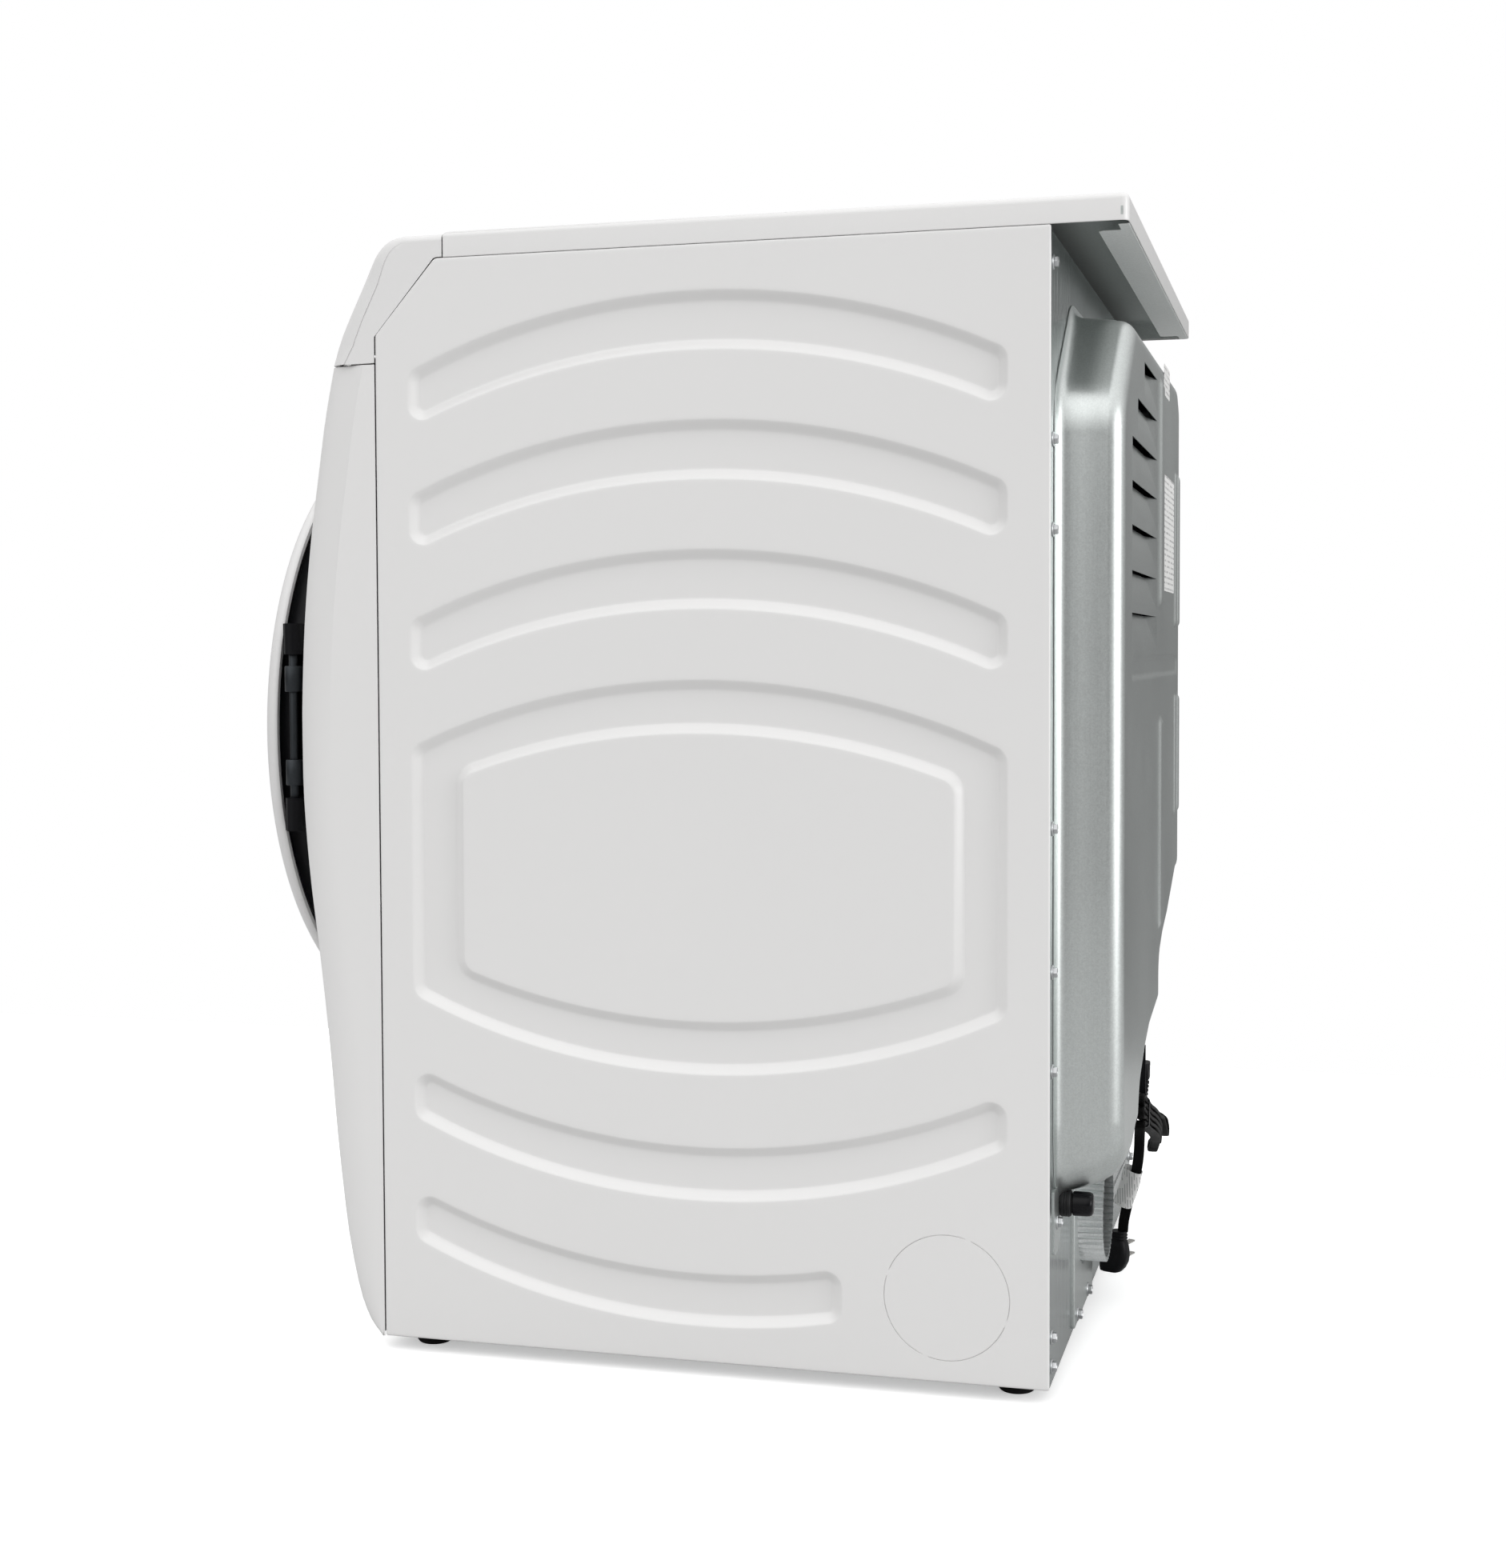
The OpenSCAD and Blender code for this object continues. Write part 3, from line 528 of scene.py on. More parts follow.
def bump(g, shader, height, distance, strength=1.0):
    """distance is the height of the relief in millimetres."""
    made = g.node("ShaderNodeBump")
    made.inputs["Strength"].default_value = strength
    made.inputs["Distance"].default_value = distance * MM
    g.link(height, made.inputs["Height"])
    g.link(made.outputs[0], shader.inputs["Normal"])


def enamel_paint(name, colour, roughness=0.3, coat=0.25):
    """Satin paint or moulding with a faint orange peel and uneven gloss."""
    material, g, shader = finish(name, colour, roughness, coat=coat)
    drift = g.noise(3.0, 3.0)
    darker = tuple(c * 0.975 for c in colour)
    g.link(g.mix(drift, darker, colour), shader.inputs["Base Color"])
    g.link(g.span(g.noise(40.0, 3.0), roughness - 0.015, roughness + 0.015), shader.inputs["Roughness"])
    bump(g, shader, g.noise(260.0, 1.0), 0.01, 0.25)
    return material


def galvanised_sheet(name, tone, roughness=0.27, streak=(6, 900, 6), metallic=1.0, drawn=0.0):
    """Zinc coat: fine crystals, long roll marks and cloudy patches."""
    material, g, shader = finish(name, tone, roughness, metallic=metallic)
    crystals = g.cells(700.0)
    grain = g.noise(900.0, 2.0)
    rolled = g.noise(1.0, 4.0, streak)
    cloud = g.noise(5.0, 4.0)
    mixed = g.total((crystals, 0.25), (grain, 0.50), (rolled, 0.25), clamp=True)
    dark = tuple(c * 0.80 for c in tone)
    light = tuple(min(1.0, c * 1.16) for c in tone)
    g.link(g.mix(mixed, dark, light), shader.inputs["Base Color"])
    rough = g.total((cloud, 0.12), (mixed, 0.08))
    g.link(g.math("ADD", rough, roughness - 0.10), shader.inputs["Roughness"])
    if drawn:
        height = g.total((g.noise(1.0, 3.0, (110, 20, 9)), 1.0), (mixed, 0.004))
        bump(g, shader, height, drawn, 1.0)
    else:
        bump(g, shader, mixed, 0.02, 0.2)
    return material


def zinc_metal(name, tone, roughness=0.35):
    material, g, shader = finish(name, tone, roughness, metallic=1.0)
    g.link(g.span(g.noise(300.0, 3.0), roughness - 0.1, roughness + 0.12), shader.inputs["Roughness"])
    g.link(g.mix(g.noise(25.0, 3.0), tuple(c * 0.8 for c in tone), tone), shader.inputs["Base Color"])
    return material


def moulding(name, colour, roughness, relief=0.02, coat=0.0, specular=0.4):
    """Moulded plastic or rubber with a fine texture."""
    material, g, shader = finish(name, colour, roughness, coat=coat, specular=specular)
    worn = tuple(min(1.0, c * 1.3 + 0.001) for c in colour)
    g.link(g.mix(g.noise(30.0, 4.0), colour, worn), shader.inputs["Base Color"])
    g.link(g.span(g.noise(120.0, 2.0), roughness - 0.07, roughness + 0.07), shader.inputs["Roughness"])
    bump(g, shader, g.noise(700.0, 2.0), relief, 0.5)
    return material


def glassy(name, colour, roughness, transmission):
    material, g, shader = finish(name, colour, roughness)
    shader.inputs["Transmission Weight"].default_value = transmission
    shader.inputs["IOR"].default_value = 1.48
    g.link(g.span(g.noise(15.0, 2.0), roughness, roughness + 0.04), shader.inputs["Roughness"])
    return material


def felt_wool(name, colour):
    material, g, shader = finish(name, colour, 0.95, specular=0.1)
    g.link(g.mix(g.noise(500.0, 4.0), tuple(c * 0.7 for c in colour), colour), shader.inputs["Base Color"])
    bump(g, shader, g.noise(900.0, 4.0), 0.4, 0.8)
    return material


def label_paper(name, across="Z", scale=55.0):
    """A blank white label: no words, only broken grey rules where print would be."""
    material, g, shader = finish(name, (0.8, 0.8, 0.79), 0.45)
    bars = g.node("ShaderNodeTexWave", wave_type="BANDS", bands_direction=across)
    bars.inputs["Scale"].default_value = scale
    bars.inputs["Distortion"].default_value = 0.0
    g.link(g.coords((1, 1, 1)), bars.inputs["Vector"])
    broken = g.math("GREATER_THAN", g.noise(1.0, 1.0, (170, 170, 90)), 0.46)
    ruled = g.math("MULTIPLY", g.math("GREATER_THAN", bars.outputs["Fac"], 0.72), broken)
    g.link(g.mix(ruled, (0.8, 0.8, 0.79), (0.42, 0.42, 0.42)), shader.inputs["Base Color"])
    return material


WHITE = enamel_paint("white_enamel", (0.775, 0.770, 0.765))
WHITE_MOULDED = enamel_paint("white_moulding", (0.760, 0.755, 0.752), 0.28, 0.15)
ZINC_SHEET = galvanised_sheet("galvanised_sheet", (0.62, 0.65, 0.64), 0.36)
ZINC_DULL = galvanised_sheet("galvanised_dull", (0.46, 0.49, 0.48), 0.5, metallic=0.25)
ZINC_BRIGHT = galvanised_sheet("galvanised_bright", (0.78, 0.80, 0.80), 0.32, (300, 5, 300))
ZINC_PALE = galvanised_sheet("galvanised_pale", (0.74, 0.76, 0.75), 0.5, metallic=0.3)
ZINC_DRAWN = galvanised_sheet("galvanised_drawn", (0.50, 0.53, 0.53), 0.24, drawn=0.9)
ZINC = zinc_metal("zinc_plate", (0.62, 0.63, 0.64))
DRUM_STEEL = zinc_metal("drum_steel", (0.66, 0.67, 0.68), 0.25)
SATIN_METAL = zinc_metal("satin_metal", (0.75, 0.76, 0.78), 0.22)
BRASS = zinc_metal("cast_brass", (0.62, 0.45, 0.18), 0.38)
BLADE = zinc_metal("blade_metal", (0.72, 0.70, 0.66), 0.25)
BLACK = moulding("black_moulding", (0.005, 0.005, 0.006), 0.36, specular=0.12)
BLACK_GLOSS = moulding("black_gloss", (0.004, 0.004, 0.005), 0.16, 0.004, specular=0.16)
RUBBER = moulding("black_rubber", (0.010, 0.009, 0.009), 0.55, 0.05, specular=0.15)
CORD_PVC = moulding("cord_pvc", (0.003, 0.003, 0.003), 0.5, 0.01, specular=0.05)
GREY = moulding("grey_moulding", (0.42, 0.43, 0.44), 0.45)
PALE = moulding("pale_moulding", (0.60, 0.61, 0.61), 0.40)
IRON = moulding("black_iron", (0.010, 0.010, 0.011), 0.45, 0.06, specular=0.2)
HINGE = zinc_metal("hinge_grey", (0.05, 0.055, 0.06), 0.45)
FELT = felt_wool("wool_felt", (0.42, 0.39, 0.33))
LAMP = glassy("lamp_cover", (0.92, 0.90, 0.82), 0.35, 0.6)
LENS = moulding("dark_lens", (0.014, 0.016, 0.018), 0.07, 0.002, 0.8)
GLASS = glassy("pressed_glass", (0.86, 0.93, 0.93), 0.04, 0.92)
PAPER = label_paper("blank_label")
TAG_PAPER = label_paper("blank_tag", "Y", 130.0)
VINYL = moulding("white_vinyl", (0.74, 0.74, 0.73), 0.4, 0.004)


BY_SLOT = {
    "white_steel": WHITE, "white_plastic": WHITE_MOULDED, "galvanised": ZINC_SHEET, "zinc_steel": ZINC,
    "black_gloss": BLACK_GLOSS, "black_plastic": BLACK, "rubber": RUBBER, "cord": CORD_PVC,
    "felt": FELT, "grey_plastic": GREY, "brass": BRASS, "iron_pipe": IRON, "lamp": LAMP,
    "hinge_grey": HINGE, "tag": VINYL, "lens": LENS, "glass": GLASS, "drum_steel": DRUM_STEEL,
    "baffle": PALE, "knob": SATIN_METAL,
}


def paint_nodes():
    """A finish for every CAD node that stays in view."""
    for part in frame["record"]["subparts"]:
        mesh = nodes[part["node"]].data
        mesh.materials.clear()
        mesh.materials.append(BY_SLOT[part["material_slot"]])


# ---- Cord ----

CORD_W, CORD_T = 10.0, 4.2
LEAD = [(-170, rear_y + 30, 158), (-170, rear_y + 31, 152), (-172, rear_y + 36, 146),
        (-175, rear_y + 44, 141), (-178, rear_y + 51, 136.5)]
DROP = [(93, rear_y + 51.5, 188), (82, rear_y + 50, 174), (70, rear_y + 48.5, 158), (58, rear_y + 46, 141),
        (48, rear_y + 42, 123), (41, rear_y + 37, 106), (35, rear_y + 33, 90), (31, rear_y + 30.5, 78),
        (30, rear_y + 29.5, 68)]
HANK_FAR, HANK_NEAR, HANK_Y = Vector((-182, 120)), Vector((103, 204)), rear_y + 52
RUNS, RUN_PITCH = 5, 5.6


def hank_points():
    """Runs of the folded hank, one under the other; away from the tie they fan out and hang."""
    along = (HANK_NEAR - HANK_FAR).normalized()
    up = Vector((-along.y, along.x))
    length = (HANK_NEAR - HANK_FAR).length
    first = (50, 34, 34, 44, 44)
    tuck, droop = (0, 8, 8, 15, 15), (0, 12, 12, 12, 12)

    def at(s, offset, run):
        loose = max(0.0, 1 - s / 120) ** 2
        p = HANK_FAR + along * s + up * offset
        return (p.x, HANK_Y - tuck[run] * loose, p.y - droop[run] * loose)

    points = []
    for run in range(RUNS):
        offset = RUN_PITCH * ((RUNS - 1) / 2 - run)
        stops = [first[run], first[run] / 2 + 45, 90, 130, 170, 210, 250, length - 14]
        sag = [0, 0.4, -0.5, 0.3, 0.5, -0.4, 0.3, 0]
        if run % 2:
            stops, sag = stops[::-1], sag[::-1]
        points += [at(s, offset + d, run) for s, d in zip(stops, sag)]
        if run < RUNS - 1:
            middle = offset - RUN_PITCH / 2
            end, out = (length, 1) if run % 2 == 0 else (first[run] - 16, -1)
            bulge = [(-4, 4.1), (4, 4.0), (9.5, 0), (4, -4.0), (-4, -4.1)]
            points += [at(end + out * s, middle + d, run) for s, d in bulge]
    return points


def cord_line():
    tip = [(-187, HANK_Y, 129), (-195.5, HANK_Y, 122.5), (-188, HANK_Y, 117.5)]
    turn = [(100, HANK_Y, 188)]
    points = [Vector(p) for p in LEAD + tip + hank_points() + turn + DROP[1:]]
    return smooth_line(points, 5)


def make_cord(tie, relief):
    line = cord_line()
    shape = Shape()
    ribs = [centre * CORD_W / 3.2 for centre in (-1, 0, 1)]
    section = []
    steps = 36
    for k in range(steps):
        a = 2 * math.pi * k / steps
        across = CORD_W / 2 * math.copysign(abs(math.cos(a)) ** 0.85, math.cos(a))
        nearest = min(abs(across - r) for r in ribs)
        swell = math.sqrt(max(0.05, 1 - (nearest / (CORD_W / 5.2)) ** 2))
        thick = CORD_T / 2 * (0.70 + 0.30 * swell)
        section.append((across, thick * math.copysign(abs(math.sin(a)) ** 0.4, math.sin(a))))
    rows = []
    for i, point in enumerate(line):
        ahead = (line[min(i + 1, len(line) - 1)] - line[max(i - 1, 0)]).normalized()
        wide = (Y - ahead * Y.dot(ahead)).normalized()
        thin = ahead.cross(wide)
        rows.append([point + wide * a + thin * b for a, b in section])
    shape.capped(rows)
    cord = piece(shape, "power_cord_flat", CORD_PVC, ("power_cord", "cord_hank"))
    [c * MM for c in LEAD[0]]
    return cord


def make_plug():
    """Right-angle plug: a flat rounded body with a ribbed neck, and two blades."""
    turn = Matrix.Rotation(math.radians(-20), 3, "Z")
    origin = Vector((30, rear_y + 21.7, 44))

    def place(p):
        return origin + turn @ Vector(p)

    shape = Shape()
    body = [(-17, -12, 4, 6), (-16, -14.5, 6.5, 7.6), (-12, -15, 10, 8.5), (-6, -14.5, 13, 8.5),
            (0, -13.5, 14, 8.5), (5, -11, 13.8, 8.3), (10, -7, 13, 8), (14, -4.5, 12, 7.4)]
    ribs = [(z, -3.2 - 0.9 * (i % 2), 11.2 + 0.9 * (i % 2), 6.6 + 0.8 * (i % 2)) for i, z in
            enumerate((15.5, 17, 18.5, 20, 21.5, 23, 24))]
    rows = []
    for z, low, high, half in body + ribs:
        outline = box_outline(-half - 0.5, low, half - 0.5, high, min(half, (high - low) / 2) * 0.7)
        rows.append([place((u, v, z)) for u, v in outline])
    shape.capped(rows)
    for z in (8.6, -3.4):
        start = len(shape.points)
        shape.block((-26, 3, z), (-8, 9.3, z + 1.5), 1)
        shape.points[start:] = [tuple(place(p)) for p in shape.points[start:]]
    return piece(shape, "plug_right_angle", [BLACK, BLADE], "plug", crease=40)


def make_tie():
    """Strap drawn round the hank, its tail held up to the lower wall of the rear cover."""
    high = box_mm("cord_tie")[1]
    along = (HANK_NEAR - HANK_FAR).normalized()
    up = Vector((-along.y, along.x))
    middle = middle_of("cord_tie")[0]
    centre = HANK_FAR + along * ((middle - HANK_FAR.x) / along.x)
    shape = Shape()
    rows = []
    for half_y, half_z, s in ((6.4, 14.4, -2.4), (6.4, 14.4, 2.4), (5.3, 13.4, 2.4), (5.3, 13.4, -2.4),
                              (6.4, 14.4, -2.4)):
        row = []
        for u, v in box_outline(-half_y, -half_z, half_y, half_z, 3.5):
            p = centre + along * s + up * v
            row.append((p.x, HANK_Y + u, p.y))
        rows.append(row)
    shape.loft(rows)
    shape.block((middle - 0.6, HANK_Y - 2.4, centre.y + 14.5), (middle + 0.6, HANK_Y + 2.4, high.z))
    shape.block((middle - 2.4, HANK_Y - 3.4, centre.y + 14), (middle + 2.4, HANK_Y + 3.4, centre.y + 18.5))
    return piece(shape, "cord_tie_strap", BLACK, "cord_tie", crease=40)


def make_tag():
    """Flag label: one strip folded round the cord, its two flaps lying nearly together."""
    turn = Matrix.Rotation(math.radians(-17), 3, "X") @ Matrix.Rotation(math.radians(21), 3, "Y")
    origin = Vector((44, rear_y + 36, 115))
    shape = Shape()
    across = [(1.5, -9.6), (4.2, -4.0), (5.6, 2.0), (4.2, 7.2), (0, 9.2), (-4.4, 7.2), (-5.8, 2.0),
              (-6.0, -4.0), (-4.2, -9.2)]
    line = smooth_line([Vector((u, v, 0)) for u, v in across], 4)
    rows = []
    for t in np.linspace(-21.5, 21.5, 9):
        bow = 0.6 * math.cos(t / 9)
        rows.append([origin + turn @ Vector((p.x + bow * 0.3, p.y + bow, t)) for p in line])
    shape.loft(rows, closed=False)
    return piece(shape, "cord_flag_label", TAG_PAPER, "cord_tag", slot="tag", thick=0.3)


# ---- Side panels and top ----

ARC_R = 632
arc_y = rear_y - 305
BAND_DEPTH = 6.5
VENT_Y, VENT_Z = rear_y - 87.5, 86.7
CHAMFER_Y, CHAMFER_Z = 58, 66
WALL = [(-2.5, 0), (0, 0), (0.8, 0.12), (2.0, 0.8), (4.0, 2.3), (6.2, 4.1), (8.2, 5.7), (9.4, 6.35),
        (10.2, BAND_DEPTH), (12.2, BAND_DEPTH)]


def bow(y, peak, sense):
    """Height at y of an arc whose middle is at peak; sense +1 sags, -1 rises in the middle."""
    return peak + sense * (ARC_R - math.sqrt(ARC_R ** 2 - (y - arc_y) ** 2))


def band(y0, y1, low, high, low_sense, high_sense, radius=15):
    """Outline between two arcs, from rear_y + y0 to rear_y + y1, with round corners."""
    stops = np.linspace(rear_y + y0, rear_y + y1, 34)
    under = [(y, bow(y, low, low_sense), 0) for y in stops]
    over = [(y, bow(y, high, high_sense), 0) for y in stops[::-1]]
    corners = under + over
    for i in (0, len(stops) - 1, len(stops), 2 * len(stops) - 1):
        corners[i] = (*corners[i][:2], radius)
    return rounded(corners)


def side_panel(sense, name, node):
    """Pressed steel side: five bands, the barrel loop, and the bridged vent knock-out."""
    def place(y, z, depth):
        # The flange at the back turns in behind the rear panel
        return (sense * (half_w - depth), min(y, rear_y - 1.5) if depth > 2.5 else y, z)

    shape = Shape()
    outline = rounded([(front_y, floor_gap, 2), (rear_y, floor_gap, 2), (rear_y, skirt_z, 2),
                       (front_y + CHAMFER_Y, skirt_z, 7), (front_y, skirt_z - CHAMFER_Z, 7)])
    edge = [(1.2, 12), (0, 11.5), (0, 3)] + edge_arc(2.0)[1:] + [(4.5, 0)]
    loops = [shape.press(outline, edge, place)[1]]
    floors = []
    bands = [band(-575, -35, low, high, -1, -1) for low, high in ((896, 948), (784.7, 837.5), (673, 726))]
    bands += [band(-575, y1, low, high, 1, 1) for y1, low, high in ((-35, 156, 204.6), (-178, 45, 93))]
    for pressed in bands:
        first, last = shape.press(pressed, WALL, place)
        loops.append(first)
        floors.append([last])
    first, outer = shape.press(band(-575, -35, 267, 613, 1, -1, 17), WALL, place)
    loops.append(first)
    island = [(-d, depth) for d, depth in WALL]
    first, inner = shape.press(band(-524, -82, 315, 565, 1, -1, 13), island, place)
    floors.append([outer, inner])
    shape.fill([first])
    for group in floors:
        shape.fill(group)
    # The knock-out's cut line: a groove that rises to the surface at four bridges
    steps = 144
    turn = np.linspace(0, 2 * math.pi, steps, endpoint=False)

    def groove(radius, depth):
        ring = []
        for k, a in enumerate(turn):
            bridge = (k + steps // 16) % (steps // 4) < 3
            ring.append(place(VENT_Y + radius * math.cos(a), VENT_Z + radius * math.sin(a),
                              0 if bridge else depth))
        return ring

    rings = [(55.4, 0), (54.45, 0), (54.25, 0.9), (53.75, 0.9), (53.55, 0), (52.6, 0)]
    made = shape.loft([groove(r, d) for r, d in rings])
    flat = [circle(VENT_Y, VENT_Z, rings[k][0], steps) for k in (0, -1)]
    loops.append((flat[0], made[0]))
    shape.fill([(flat[1], made[-1])])
    shape.fill(loops)
    return piece(shape, name, WHITE, node, outward=X * sense, thick=1.0)


def top_cover():
    """Folded top with soft edges; its rear skirt turns in as a hem that stops short of the corners."""
    shape = Shape()
    back = top_high.y
    outline = rounded([(-half_w, seam_y + 0.4, 1.5), (half_w, seam_y + 0.4, 1.5), (half_w, back, 7),
                       (-half_w, back, 7)])
    height = top_z - skirt_z
    skirt = [(1.2, height - 0.2), (0.5, height), (0, height - 0.6)] + edge_arc(5.5, 0, 8) + [(9, 0)]
    shape.pad(outline, skirt, top_place(top_z))
    piece(shape, "top_cover_sheet", WHITE, "top_cover", outward=Z, thick=1.0)
    hem = Shape()
    front, tip = back - 29, half_w - 12
    side = [(tip - 26, front, 4), (tip - 26, back - 10, 4), (tip, back - 10, 1), (tip, back - 0.9, 0.5)]
    fold = rounded([(-x, y, r) for x, y, r in side] + side[::-1])

    def under(x, y, depth):
        return (x, y, skirt_z - 1.5 + depth)

    hem.slab(fold, [(0.3, 1.0), (0, 0.7), (0, 0.3), (0.3, 0)], under)
    piece(hem, "top_cover_hem", ZINC_PALE)
    liner = Shape()
    side = half_w - 1.6
    inner = rounded([(-side, seam_y + 4, 2), (side, seam_y + 4, 2), (side, back - 1.6, 5), (-side, back - 1.6, 5)])
    liner.pad(inner, [(0, height - 3.5), (0, 3), (1, 0.8), (3, 0)], top_place(top_z - 1.6))
    piece(liner, "top_cover_lining", ZINC_DULL, outward=-Z)
    slots = Shape()
    for sense in (-1, 1):
        slots.block((sense * half_w - 0.25, rear_y + 56.6, skirt_z + 4.5),
                    (sense * half_w + 0.02, rear_y + 58.6, skirt_z + 11.5))
    piece(slots, "top_cover_slots", ZINC_DULL)


# ---- Front ----

CORNER_IN, CORNER_OUT = 13.0, 34.0
OPENING_R = 195.5


def cad_profile(node, above=0.0):
    """(height, y) points of the front line of a CAD node's side face."""
    points = {(round(v.co.z / MM, 2), round(v.co.y / MM, 2)) for v in nodes[node].data.vertices
              if v.co.x / MM > half_w - 0.05 and v.co.y / MM < seam_y - 20 and v.co.z / MM > above}
    line = {}
    for z, y in points:
        line[z] = min(y, line.get(z, 1e9))
    return sorted(line.items())


class Line:
    """A smooth line of y over height."""

    def __init__(self, points):
        smooth = smooth_line([Vector((z, y, 0)) for z, y in points], 10)
        self.z = np.array([p.x for p in smooth])
        self.y = np.array([p.y for p in smooth])

    def __call__(self, z):
        return float(np.interp(z, self.z, self.y))


def corner_row(y_front, y_back, z, columns, steps=22):
    """One level of the front: flat cheek, rounded vertical edge, then across the face."""
    across, along = CORNER_IN, min(CORNER_OUT, (y_back - y_front) * 0.8)
    facet = min(1.0, max(0.0, (z - 520) / 200))
    row = [(half_w, y_back), (half_w, y_back - 1.5), (half_w, y_front + along + 0.4)]
    bend = [Vector((0, along)), Vector((4.2 * facet, along * 0.42)), Vector((across * 0.42, 0)),
            Vector((across, 0))]
    for t in np.linspace(0, 1, steps + 1):
        shares = ((1 - t) ** 3, 3 * t * (1 - t) ** 2, 3 * t * t * (1 - t), t ** 3)
        p = sum((b * share for b, share in zip(bend, shares)), Vector((0, 0)))
        row.append((half_w - p.x, y_front + p.y))
    half = [(x, y, z) for x, y in row]
    left = [(-x, y, z) for x, y, z in half[::-1]]
    return half + [(x, y_front, z) for x in columns] + left


def front_panel():
    """Bowed steel front with a round opening behind the door."""
    line = Line(cad_profile("front_panel"))
    low, high = box_mm("front_panel")[0].z, box_mm("front_panel")[1].z
    reach, cell = 240, 20
    columns = list(range(300, -301, -cell))
    heights = [low, low + 3, low + 7, low + 13, low + 20, 45, 60, 80, 105, 130, 160, 190, 220, 250, 285]
    heights += [door_z - reach + cell * k for k in range(int(2 * reach / cell) + 1)]
    heights += [820, 838, 856, 872, 884, 890, high - 2.0, high - 0.6]
    shape = Shape()
    back = front_y - 0.8
    rows = [corner_row(line(z), back, z, columns) for z in heights]
    lead = (len(rows[0]) - len(columns)) // 2
    tuck = [[(x, min(back, y + step), high) for x, y, z in rows[-1]] for step in (1.2, 7)]
    rows = rows + tuck
    first_row = heights.index(door_z - reach)
    made, ring = shape.sheet(rows, (first_row, first_row + int(2 * reach / cell),
                                    lead + columns.index(reach), lead + columns.index(-reach)))
    around = [Vector((shape.points[i][0], shape.points[i][2] - door_z)) for i in ring]
    previous = ring
    for share, inner, sink in ((0.35, 0, 0), (0.7, 0, 0), (0.93, 0, 0), (1, 0, 0), (1, 1, 1), (1, 3, 3),
                               (1, 4, 6), (1, 4, 26)):
        loop = []
        for p in around:
            circle_point = p.normalized() * (OPENING_R + 4 - inner)
            q = p.lerp(circle_point, share)
            loop.append((q.x, line(q.y + door_z) + sink, q.y + door_z))
        current = shape.row(loop)
        shape.strip(previous, current)
        previous = current
    shape.turn_under(rows[0], made[0], back - 8, 6)
    return piece(shape, "front_panel_shell", WHITE, "front_panel", outward=-Y, thick=1.0, crease=9)


